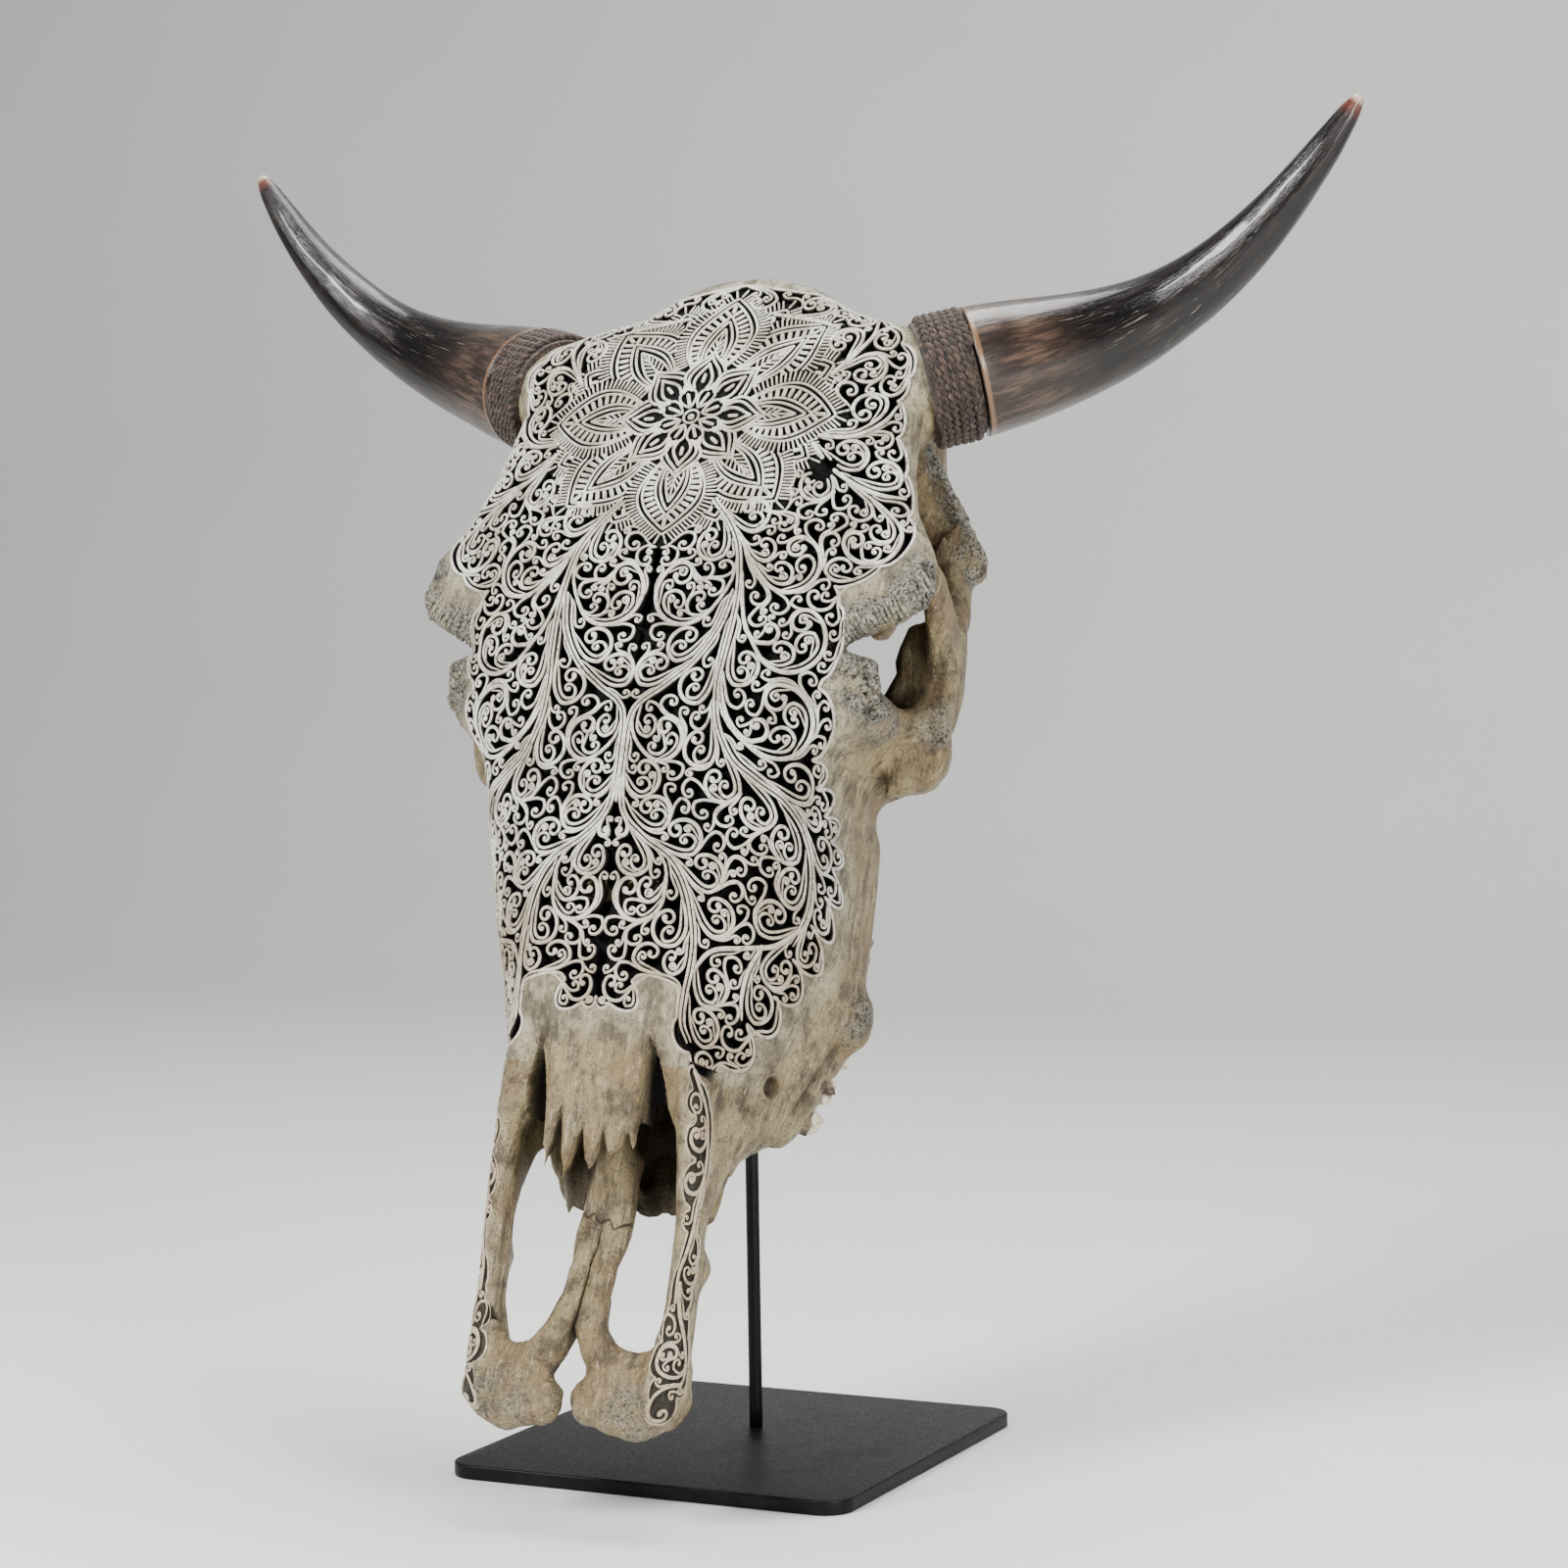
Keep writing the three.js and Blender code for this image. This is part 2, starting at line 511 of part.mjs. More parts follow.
// Everything beyond the bone's horn stub: the room for the cord, and for the horn itself.
function hornRoom(clear) {
  const stub = wrap.inner - clear;
  const from = wrapStart - clear;
  return onHornLine([[from, 0], [from, 30.5], [60, 46], [60, 0]], 20)
    .subtract(onHornLine([[from - 2, 0], [from - 2, stub], [-clear, stub], [-clear, 0]], 24));
}

function cordRing() {
  const profile = [];
  for (let row = 0; row < wrap.rows; row++) {
    const from = wrapStart + row * wrap.cord;
    profile.push([from, wrap.inner + wrap.cord - 1.4], [from + wrap.cord * 0.5, wrap.inner + wrap.cord]);
  }
  const last = wrapStart + wrap.rows * wrap.cord;
  profile.push([last, wrap.inner + wrap.cord - 1.4], [last, wrap.inner], [wrapStart, wrap.inner]);
  profile.push(profile[0]);
  return onHornLine(profile, wrap.sides);
}

function hornSolid() {
  const curve = new THREE.CubicBezierCurve3(...horn.curve.map((p) => new THREE.Vector3(...p)));
  const radius = along(horn.radii);
  const frames = curve.computeFrenetFrames(horn.rings, false);
  const position = [];
  const index = [];
  for (let i = 0; i <= horn.rings; i++) {
    const at = curve.getPointAt(i / horn.rings);
    for (let j = 0; j < horn.sides; j++) {
      const turn = (j / horn.sides) * Math.PI * 2;
      const r = radius(i / horn.rings);
      const p = at.clone().addScaledVector(frames.normals[i], r * Math.cos(turn));
      position.push(...p.addScaledVector(frames.binormals[i], r * Math.sin(turn)).toArray());
      if (i === 0) continue;
      const a = (i - 1) * horn.sides + j;
      const b = (i - 1) * horn.sides + ((j + 1) % horn.sides);
      index.push(a, b, b + horn.sides, a, b + horn.sides, a + horn.sides);
    }
  }
  for (const ring of [0, horn.rings]) {
    const centre = position.length / 3;
    position.push(...curve.getPointAt(ring / horn.rings).toArray());
    for (let j = 0; j < horn.sides; j++) {
      const a = ring * horn.sides + j;
      const b = ring * horn.sides + ((j + 1) % horn.sides);
      index.push(centre, ...(ring ? [a, b] : [b, a]));
    }
  }
  const g = new THREE.BufferGeometry();
  g.setAttribute("position", new THREE.Float32BufferAttribute(position, 3));
  g.setIndex(index);
  return solidFrom(g);
}

function toothSolid({ x, z, long, wide, reach }, grow) {
  const g = new THREE.CylinderGeometry(0.92, 1, 1, 8, 1);
  g.rotateY(Math.PI / 8);
  g.scale(wide / 2 + grow, reach - toothRoot + grow, long / 2 + grow);
  g.rotateX(Math.PI);
  g.translate(x, (reach + toothRoot - grow) / 2, z);
  return solidFrom(g);
}

const raw = surfaceOf(bone, [-147.5, -14, -8], [147.5, 188, 508], cell);
let skullSolid = solidFrom(geometryFrom(thin(raw, boneTriangles * 1.3)));

const lean = -THREE.MathUtils.degToRad(leanDegrees);
const skullFrame = new THREE.Group();
skullFrame.rotation.x = lean;
skullFrame.position.set(0, skullBack, skullLift);
skullFrame.updateMatrix();
const intoBone = skullFrame.matrix.clone().invert();

function upright(radius, from, to, segments) {
  const g = new THREE.CylinderGeometry(radius, radius, to - from, segments);
  g.rotateX(Math.PI / 2);
  g.translate(0, rod.y, (from + to) / 2);
  return g;
}

function fitted(solid, clear) {
  let left = solid;
  for (const [, side] of sides) {
    left = left.subtract(mirrored(hornRoom(clear), side));
    for (const tooth of teeth) left = left.subtract(mirrored(toothSolid(tooth, clear), side));
  }
  const bore = upright(rod.radius + clear, rod.top - 90, rod.top + clear, 20).applyMatrix4(intoBone);
  return left.subtract(solidFrom(bore)).decompose().sort((a, b) => b.volume() - a.volume())[0];
}

// The rooms are cut wide, the mesh is thinned, and what the thinning pushed back into them is cut again.
const wide = fitted(skullSolid, cutGap).getMesh();
const rows = (flat) => Array.from({ length: flat.length / 3 }, (_, i) => [...flat.slice(i * 3, i * 3 + 3)]);
const lighter = thin({ points: rows(wide.vertProperties), faces: rows(wide.triVerts) }, boneTriangles);
skullSolid = fitted(solidFrom(geometryFrom(lighter)), gap);

const group = new THREE.Group();
group.add(skullFrame);
function add(parent, name, geometry, material) {
  const mesh = new THREE.Mesh(geometry, material);
  mesh.name = name;
  parent.add(mesh);
}

add(skullFrame, "skull", geometryOf(skullSolid), boneFinish);
const hornShape = hornSolid();
const ringShape = cordRing();
for (const [label, side] of sides) {
  add(skullFrame, `horn_${label}`, geometryOf(mirrored(hornShape, side)), hornFinish);
  add(skullFrame, `cord_wrap_${label}`, geometryOf(mirrored(ringShape, side)), cordFinish);
  teeth.forEach((tooth, i) => {
    add(skullFrame, `tooth_${label}_${i + 1}`, geometryOf(mirrored(toothSolid(tooth, 0), side)), toothFinish);
  });
}
add(group, "stand_rod", upright(rod.radius, plate.thick - rod.socketDepth, rod.top, 24), steelFinish);

const corner = new THREE.Shape();
const [w, h, c] = [plate.width / 2, plate.depth / 2, plate.corner];
corner.moveTo(-w + c, -h);
corner.lineTo(w - c, -h).absarc(w - c, -h + c, c, -Math.PI / 2, 0);
corner.lineTo(w, h - c).absarc(w - c, h - c, c, 0, Math.PI / 2);
corner.lineTo(-w + c, h).absarc(-w + c, h - c, c, Math.PI / 2, Math.PI);
corner.lineTo(-w, -h + c).absarc(-w + c, -h + c, c, Math.PI, Math.PI * 1.5);
const slab = new THREE.ExtrudeGeometry(corner, { depth: plate.thick, bevelEnabled: false, curveSegments: 4 });
const socket = upright(rod.radius + gap, plate.thick - rod.socketDepth - gap, plate.thick + 5, 24);
add(group, "stand_base", geometryOf(solidFrom(slab).subtract(solidFrom(socket))), steelFinish);

export default group;
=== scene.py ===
import heapq
import math
import bmesh
import bpy
import numpy as np
from mathutils import Matrix, Vector, noise
from mathutils.bvhtree import BVHTree


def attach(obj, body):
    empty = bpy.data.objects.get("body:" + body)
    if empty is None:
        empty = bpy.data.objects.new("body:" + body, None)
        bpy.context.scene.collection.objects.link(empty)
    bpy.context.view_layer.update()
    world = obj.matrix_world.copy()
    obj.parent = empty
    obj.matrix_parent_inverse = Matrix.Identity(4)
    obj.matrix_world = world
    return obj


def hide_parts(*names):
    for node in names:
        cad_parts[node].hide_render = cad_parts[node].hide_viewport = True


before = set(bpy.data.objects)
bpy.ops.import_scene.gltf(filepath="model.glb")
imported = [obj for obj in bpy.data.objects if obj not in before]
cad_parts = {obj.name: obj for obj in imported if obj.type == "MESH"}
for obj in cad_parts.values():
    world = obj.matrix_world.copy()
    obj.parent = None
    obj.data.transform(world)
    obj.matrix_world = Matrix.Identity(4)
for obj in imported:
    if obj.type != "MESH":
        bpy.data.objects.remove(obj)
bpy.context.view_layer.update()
sides = ((1, "left"), (-1, "right"))

# the bone's own frame, in millimetres: x across, y back from the forehead, z along the skull
lean = {"degrees": 23.2, "back": -198.0, "lift": 52.0}
leanCos, leanSin = math.cos(math.radians(lean["degrees"])), math.sin(math.radians(lean["degrees"]))


def toBone(p):
    y, z = p[:, 1] * 1000 - lean["back"], p[:, 2] * 1000 - lean["lift"]
    return np.c_[p[:, 0] * 1000, leanCos * y - leanSin * z, leanSin * y + leanCos * z]


def toStand(p):
    y, z = p[:, 1], p[:, 2]
    return np.c_[p[:, 0], leanCos * y + leanSin * z + lean["back"],
                 -leanSin * y + leanCos * z + lean["lift"]] / 1000


def read(items, key, wide=3, kind=float):
    out = np.empty(len(items) * wide, kind)
    items.foreach_get(key, out)
    return out.reshape(-1, wide)


def pointsOf(mesh):
    return read(mesh.vertices, "co")


def normalsOf(mesh):
    return read(mesh.vertex_normals, "vector")


def setPoints(mesh, p):
    mesh.vertices.foreach_set("co", np.asarray(p, np.float64).ravel())
    mesh.update()


def treeOf(p, mesh):
    return BVHTree.FromPolygons([tuple(v) for v in p], [tuple(q.vertices) for q in mesh.polygons])


def paint(mesh, name, values):
    # a number or a vector for each point
    kind, key = ("FLOAT_VECTOR", "vector") if np.ndim(values) == 2 else ("FLOAT", "value")
    layer = mesh.attributes.get(name) or mesh.attributes.new(name, kind, "POINT")
    layer.data.foreach_set(key, np.asarray(values, np.float32).ravel())


def linked(name, data):
    obj = bpy.data.objects.new(name, data)
    bpy.context.scene.collection.objects.link(obj)
    return obj


def settled(*objects):
    # the mesh that the first object's modifiers or bevel make, after which the objects go
    mesh = bpy.data.meshes.new_from_object(objects[0].evaluated_get(bpy.context.evaluated_depsgraph_get()))
    for obj in objects:
        bpy.data.objects.remove(obj)
    return mesh


def place(name, mesh, material, slot, *replaced):
    # a finished piece: it sits at the origin, takes its material and rides on the one body
    obj = linked(name, mesh)
    mesh.materials.clear()
    mesh.materials.append(material)
    mesh.shade_smooth()
    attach(obj, "root")
    if replaced:
        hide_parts(*replaced)


def opened(mesh):
    bm = bmesh.new()
    bm.from_mesh(mesh)
    return bm


def stored(bm, mesh):
    bm.to_mesh(mesh)
    bm.free()
    return mesh


def meshFrom(bm, name):
    return stored(bm, bpy.data.meshes.new(name))


def clamp01(v):
    return np.clip(v, 0.0, 1.0)


def ease(a, b, v):
    t = clamp01((v - a) / (b - a))
    return t * t * (3 - 2 * t)


def cloud(p, scale, seed=0.0, octaves=3):
    # soft noise at a wavelength in millimetres, about -1 to 1
    q = p / scale + seed
    return np.array([noise.fractal(Vector(v), 1.0, 2.0, octaves, noise_basis="PERLIN_ORIGINAL") for v in q])


def unit(v):
    return v / (np.linalg.norm(v, axis=-1, keepdims=True) + 1e-9)


def lengthAlong(p):
    steps = np.diff(p, axis=0)
    return np.r_[0, np.cumsum(np.hypot(*steps.T) if p.shape[1] == 2 else np.linalg.norm(steps, axis=1))]


def columnsAt(x, xs, table):
    return np.array([np.interp(x, xs, column) for column in table.T]).T


def between(grid, a, b, f, g):
    # a grid's value between the cells a, b and a + 1, b + 1
    return ((grid[a, b] * (1 - f) + grid[a + 1, b] * f) * (1 - g)
            + (grid[a, b + 1] * (1 - f) + grid[a + 1, b + 1] * f) * g)


# Shader maths

class Value:
    def __init__(self, graph, socket):
        self.graph, self.socket = graph, socket

    def maths(self, operation, a, b):
        return self.graph.node("ShaderNodeMath", {"operation": operation}, [a, b])

    def __add__(self, other):
        return self.maths("ADD", self, other)

    def __sub__(self, other):
        return self.maths("SUBTRACT", self, other)

    def __rsub__(self, other):
        return self.maths("SUBTRACT", other, self)

    def __mul__(self, other):
        return self.maths("MULTIPLY", self, other)

    __radd__ = __add__


class Graph:
    def __init__(self, name):
        self.material = bpy.data.materials.new(name)
        self.material.use_nodes = True
        self.tree = self.material.node_tree

    def feed(self, node, inputs):
        for key, value in inputs.items() if isinstance(inputs, dict) else enumerate(inputs):
            if isinstance(value, Value):
                self.tree.links.new(value.socket, node.inputs[key])
            else:
                node.inputs[key].default_value = value

    def node(self, kind, settings={}, inputs=(), out=0):
        made = self.tree.nodes.new(kind)
        for key, value in settings.items():
            setattr(made, key, value)
        self.feed(made, inputs)
        return Value(self, made.outputs[out])

    def attribute(self, name, out=2):
        return self.node("ShaderNodeAttribute", {"attribute_name": name}, (), out)

    def lay(self, turn=0.0):
        # the object's own coordinates, turned with the leaning skull
        where = self.node("ShaderNodeTexCoord", out=3)
        return self.node("ShaderNodeMapping", {}, {0: where, 2: (turn, 0, 0)})

    def scaled(self, vector, by):
        return self.node("ShaderNodeVectorMath", {"operation": "MULTIPLY"}, [vector, by])

    def noise(self, vector, scale, detail, rough, warp=0.0):
        return self.node("ShaderNodeTexNoise", {}, {"Vector": vector, "Scale": scale, "Detail": detail,
                                                    "Roughness": rough, "Distortion": warp})

    def ramp(self, value, low, high, a=0.0, b=1.0):
        return self.node("ShaderNodeMapRange", {"interpolation_type": "SMOOTHSTEP"}, [value, low, high, a, b])

    def mix(self, a, b, factor):
        a, b = ((*c, 1.0) if isinstance(c, tuple) else c for c in (a, b))
        return self.node("ShaderNodeMix", {"data_type": "RGBA"}, {0: factor, 6: a, 7: b}, 2)

    def coat(self, under, shade, by, low, high, most=1.0):
        # a colour laid over another as a value runs from low to high
        return self.mix(under, shade, self.ramp(by, low, high, 0.0, most))

    def finished(self, colour, rough, height=None, deep=0.0, strength=0.0, more={}):
        inputs = {"Base Color": colour, "Roughness": rough, **more}
        if height:
            inputs["Normal"] = self.node("ShaderNodeBump", {}, {"Strength": strength, "Distance": deep,
                                                                "Height": height})
        self.feed(self.tree.nodes["Principled BSDF"], inputs)
        return self.material


def boneMaterial():
    g = Graph("weathered_shaded_bone")
    lay = g.lay(math.radians(lean["degrees"]))
    along = g.scaled(lay, (1, 1, 0.13))
    fibre = g.noise(along, 520, 6, 0.7, 0.1)
    streak = g.noise(along, 170, 5, 0.62, 0.12)
    broad = g.noise(lay, 26, 4, 0.6)
    patch = g.noise(lay, 85, 6, 0.7)
    grain = g.noise(lay, 900, 5, 0.74)
    pits = g.node("ShaderNodeTexVoronoi", {}, {"Vector": lay, "Scale": 560})
    shaded_hollows, silver, rugged, shadowed_bed = (g.attribute(name) for name in ("shaded_hollows", "silver", "rugged", "shadowed_bed"))
    colour = g.coat((0.350, 0.282, 0.158), (0.205, 0.162, 0.092), broad, 0.36, 0.64)
    colour = g.coat(colour, (0.29, 0.198, 0.092), broad, 0.47, 0.60, 0.5)
    colour = g.coat(colour, (0.092, 0.068, 0.040), patch, 0.47, 0.64, 0.85)
    colour = g.mix(colour, g.coat((0.47, 0.452, 0.345), (0.21, 0.197, 0.142), patch, 0.40, 0.60), silver)
    colour = g.mix(colour, (0.050, 0.038, 0.027), g.ramp(streak, 0.53, 0.68) * (0.62 - silver * 0.3))
    colour = g.coat(colour, (0.075, 0.056, 0.040), fibre, 0.53, 0.66, 0.62)
    colour = g.coat(colour, (0.60, 0.53, 0.38), fibre, 0.46, 0.32, 0.55)
    colour = g.coat(colour, (0.048, 0.038, 0.027), grain, 0.52, 0.64, 0.62)
    pitted = g.coat((0.46, 0.44, 0.385), (0.016, 0.014, 0.011), grain, 0.45, 0.57)
    colour = g.mix(colour, pitted, rugged * g.ramp(patch, 0.30, 0.55, 0.5, 0.95))
    # painted shade: the bone darkens to near black in hollows, holes, grooves, cracks and the nose cavity,
    # where shade falls
    colour = g.mix(colour, (0.020, 0.015, 0.011), shaded_hollows * g.ramp(broad, 0.3, 0.7, 1.0, 0.82))
    rough = g.ramp(grain, 0.36, 0.64, 0.22, 0.52) + shaded_hollows * 0.25 + shadowed_bed * 0.5
    height = (streak * 0.8 + fibre * 0.8 + grain * (0.6 + rugged * 1.4)
              - g.ramp(pits, 0.30, 0.04) * (0.35 + rugged))
    # painted shade: the sunken bed under the lace and jaw strips, and the gap beside the nose bones, turns
    # near black for the dark hollow behind the openwork
    return g.finished(g.mix(colour, (0.003, 0.0026, 0.002), shadowed_bed), rough, height, 0.0012, 0.9,
                      {"Specular IOR Level": 0.6})


def laceMaterial():
    g = Graph("carved_scrolls")
    lay = g.lay(math.radians(lean["degrees"]))
    patch = g.noise(lay, 55, 5, 0.62)
    grain = g.noise(lay, 1500, 4, 0.7)
    nick = g.noise(lay, 520, 5, 0.7)
    depth = g.attribute("depth")
    top = g.coat((0.78, 0.76, 0.69), (0.45, 0.425, 0.35), patch, 0.38, 0.62)
    top = g.mix(top, (0.44, 0.33, 0.21), g.attribute("tan") * 0.7)
    top = g.coat(top, (0.12, 0.10, 0.075), nick, 0.53, 0.65, 0.7)
    # painted shade: each ribbon's sides darken to near black the further they drop below its top, as shade
    # falls down into the recess
    side = g.coat((0.10, 0.085, 0.06), (0.0035, 0.003, 0.0025), depth, 0.15, 0.42)
    rough = g.ramp(grain, 0.34, 0.66, 0.14, 0.42) + g.ramp(depth, 0.08, 0.25) * 0.45
    return g.finished(g.coat(top, side, depth, 0.07, 0.19), rough, grain * 0.6 + nick, 0.0008, 0.85,
                      {"Specular IOR Level": 0.7})


def hornMaterial():
    g = Graph("polished_horn")
    grainAt, along = g.attribute("grainAt", 1), g.attribute("along")
    streak = g.noise(grainAt, 1.0, 5, 0.62)
    fine = g.noise(g.scaled(grainAt, (3.4, 3.4, 1.5)), 1.0, 4, 0.62)
    soft = g.noise(g.lay(), 34, 3, 0.5)
    dark = g.coat((0.0055, 0.0045, 0.0042), (0.030, 0.020, 0.015), streak, 0.46, 0.72)
    root = g.coat((0.125, 0.082, 0.058), (0.030, 0.019, 0.014), streak, 0.38, 0.60)
    root = g.coat(root, (0.022, 0.015, 0.012), fine, 0.46, 0.60, 0.75)
    body = g.coat(root, dark, along + soft * 0.16, 0.17, 0.36)
    body = g.mix(body, (0.15, 0.10, 0.068), g.ramp(fine, 0.56, 0.7) * g.ramp(along, 0.5, 0.2, 0.1, 0.5))
    tip = g.coat((0.13, 0.045, 0.030), (0.58, 0.47, 0.35), along, 0.976, 0.992)
    body = g.coat(body, tip, along + soft * 0.02, 0.955, 0.985)
    flecks = g.ramp(fine, 0.635, 0.675) * g.ramp(soft, 0.44, 0.58) * g.ramp(along, 0.1, 0.3)
    body = g.mix(body, (0.40, 0.38, 0.34), flecks * 0.8)
    rim = g.ramp(along, 0.016, 0.010) * g.ramp(along, 0.0, 0.004)
    body = g.mix(body, (0.27, 0.155, 0.085), rim * 0.7)
    rough = g.ramp(streak, 0.35, 0.7, 0.12, 0.27) + flecks * 0.3
    return g.finished(body, rough, streak + fine * 0.35 + flecks * 0.6, 0.0007, 0.55,
                      {"Coat Weight": 0.4, "Coat Roughness": 0.07})


def cordMaterial():
    g = Graph("waxed_cord")
    fibre = g.noise(g.attribute("grainAt", 1), 1.0, 4, 0.65)
    soft = g.noise(g.lay(), 140, 4, 0.6)
    colour = g.coat((0.018, 0.012, 0.009), (0.15, 0.098, 0.070), fibre, 0.42, 0.66)
    colour = g.coat(colour, (0.20, 0.145, 0.105), soft, 0.56, 0.74, 0.5)
    return g.finished(colour, g.ramp(fibre, 0.3, 0.7, 0.55, 0.82), fibre, 0.0008, 0.8, {"Sheen Weight": 0.25})


def toothMaterial():
    g = Graph("worn_tooth")
    patch = g.noise(g.lay(), 150, 4, 0.6)
    crack = g.noise(g.lay(), 620, 4, 0.7)
    worn, enamel = g.attribute("worn"), g.attribute("enamel")
    body = g.coat((0.22, 0.165, 0.11), (0.085, 0.062, 0.042), patch, 0.42, 0.62)
    pale = g.coat((0.74, 0.68, 0.53), (0.50, 0.42, 0.30), patch, 0.5, 0.68)
    colour = g.mix(body, pale, enamel)
    colour = g.mix(colour, (0.05, 0.038, 0.026), g.ramp(crack, 0.52, 0.66) * (0.75 - enamel * 0.45))
    colour = g.mix(colour, (0.03, 0.023, 0.017), worn * 0.85)
    return g.finished(colour, g.ramp(patch, 0.3, 0.7, 0.28, 0.55), crack, 0.0006, 0.6)


def steelMaterial():
    g = Graph("black_steel")
    grain = g.noise(g.lay(), 900, 4, 0.65)
    rub = g.noise(g.lay(), 24, 5, 0.6)
    colour = g.coat((0.012, 0.012, 0.013), (0.035, 0.035, 0.037), rub, 0.45, 0.72)
    rough = g.ramp(grain, 0.3, 0.7, 0.34, 0.5) + g.ramp(rub, 0.5, 0.75) * 0.12
    return g.finished(colour, rough, grain, 0.0003, 0.35, {"Metallic": 0.55})


def studioMaterial():
    g = Graph("studio_floor")
    return g.finished(g.mix((0.78, 0.77, 0.75), (0.83, 0.82, 0.80), g.noise(g.lay(), 3, 2, 0.5)), 0.7)


boneFinish, laceFinish, hornFinish = boneMaterial(), laceMaterial(), hornMaterial()
cordFinish, toothFinish = cordMaterial(), toothMaterial()
steelFinish, floorFinish = steelMaterial(), studioMaterial()
print("materials")

# The bone: a merged copy of the solid, made fine and smooth, then weathered and darkened with painted shade
# in its hollows

bone = {"voxel": 0.0021, "rounds": 34, "crown": 3.2, "slimmer": 1.1, "shelf": 4.5, "pads": 1.3, "uneven": 0.3,
        "recess": 5.2, "relief": 1.35, "strip": 0.95, "coarse": 145000, "most": 192000, "crumb": 60}


def merged(node):
    bm = opened(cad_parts[node].data)
    bmesh.ops.remove_doubles(bm, verts=bm.verts, dist=1e-6)
    bmesh.ops.recalc_face_normals(bm, faces=bm.faces)
    return bm


def remeshed(mesh, voxel):
    obj = linked("working", mesh)
    mod = obj.modifiers.new("remesh", "REMESH")
    mod.mode, mod.voxel_size = "VOXEL", voxel
    return settled(obj)


def relax(p, mesh, rounds):
    # smooths without shrinking: each round goes in and a little further back out
    a, b = read(mesh.edges, "vertices", 2, np.int64).T
    count = np.maximum(np.bincount(np.r_[a, b], minlength=len(p)), 1)[:, None]
    for _ in range(rounds):
        for step in (0.5, -0.52):
            total = np.array([np.bincount(a, v[b], len(p)) + np.bincount(b, v[a], len(p)) for v in p.T]).T
            p = p + (total / count - p) * step
    return p


def hull(bm, corners):
    # one closed convex lump round these points of the bone's frame
    made = [bm.verts.new(tuple(v)) for v in toStand(np.array(corners, float))]
    result = bmesh.ops.convex_hull(bm, input=made)
    spare = [v for v in result["geom_interior"] + result["geom_unused"] if isinstance(v, bmesh.types.BMVert)]
    bmesh.ops.delete(bm, geom=list(set(spare)), context="VERTS")


def nearLine(p, line):
    # distance of each point from a bent line
    best = np.full(len(p), 1e9)
    for a, b in zip(np.array(line, float), np.array(line[1:], float)):
        t = clamp01((p - a) @ (b - a) / ((b - a) @ (b - a)))
        best = np.minimum(best, np.linalg.norm(p - a - t[:, None] * (b - a), axis=1))
    return best


# lumps too fine for the solid skull, in the bone's frame; all but the prongs are mirrored
growths = {
    # corners, and how far behind them the lump ends: three plates, the cheek's end, the temple ridge's knob
    "lumps": [([(105.6, 52.7, 347), (89, 56, 345), (81, 62, 331), (111, 57, 323)], (1, 8, 1)),
              ([(85, 62, 331), (76, 66, 315), (88, 68, 303), (111, 58, 322)], (1, 8, 1)),
              ([(88, 68, 303), (108, 63, 305), (111, 57, 324)], (1, 8, 1)),
              ([(108, 60, 312), (110.5, 65, 297), (109, 67, 287), (104, 68, 279), (96, 65, 276),
                (88, 61, 273), (85, 58, 300)], (-2, 10, 2)),
              ([(101, 101, 393), (101, 105, 386), (95, 106, 379), (88, 102, 379), (83, 95, 386),
                (88, 92, 398), (96, 93, 401)], (-4, -9, 2))],
    "crest": [(71, 70, 441), (77, 81, 430), (84, 89, 418), (91, 96, 404), (97, 101, 391)],
    "crestCorners": [(2.2, 1.6, 0), (-2.2, 1.8, 2), (-1.0, -4.0, -2), (-11, -1, 0), (-11, 3, 1), (0.5, 0, 2)],
    # the nose bones' points: tip and half width; between them x, half width and depth of each notch
    "prongs": [(-17.4, 26.5, 106.0, 2.5), (-6.6, 24, 99.0, 2.9), (3.4, 24, 103.5, 2.6),
               (12.0, 24.5, 111.0, 2.4)],
    "notches": [(-12.2, 2.0, 14), (-1.6, 1.8, 12), (7.7, 1.9, 13), (16.5, 1.6, 9)],
    # how far each inner bar is moved towards the midline and forwards, by height
    "barShift": {"z": (8, 15, 33, 47, 60, 74, 86, 110, 150), "in": (1, 2.2, 5, 10.5, 9.4, 7.5, 3, 1, 0),
                 "front": (0, 1, 6, 11, 11, 11, 11, 10, 0)},
}


def addGrowths(bm):
    for side, _ in sides:
        for lump, depth in growths["lumps"]:
            hull(bm, np.vstack([lump, np.array(lump) + depth]) * (side, 1, 1))
        for ends in zip(growths["crest"], growths["crest"][1:]):
            corners = [np.add(end, by) for end in ends for by in growths["crestCorners"]]
            hull(bm, np.array(corners) * (side, 1, 1))
    for x, y, z, half in growths["prongs"]:
        root = [(x + half * a, y - 1.5 + b, z + 24) for a in (1, -1) for b in (0, 5)]
        hull(bm, root + [(x + half * 0.4 * a, y + b, z) for a in (1, -1) for b in (0.5, 3.0)])
    return meshFrom(bm, "skull_grown")


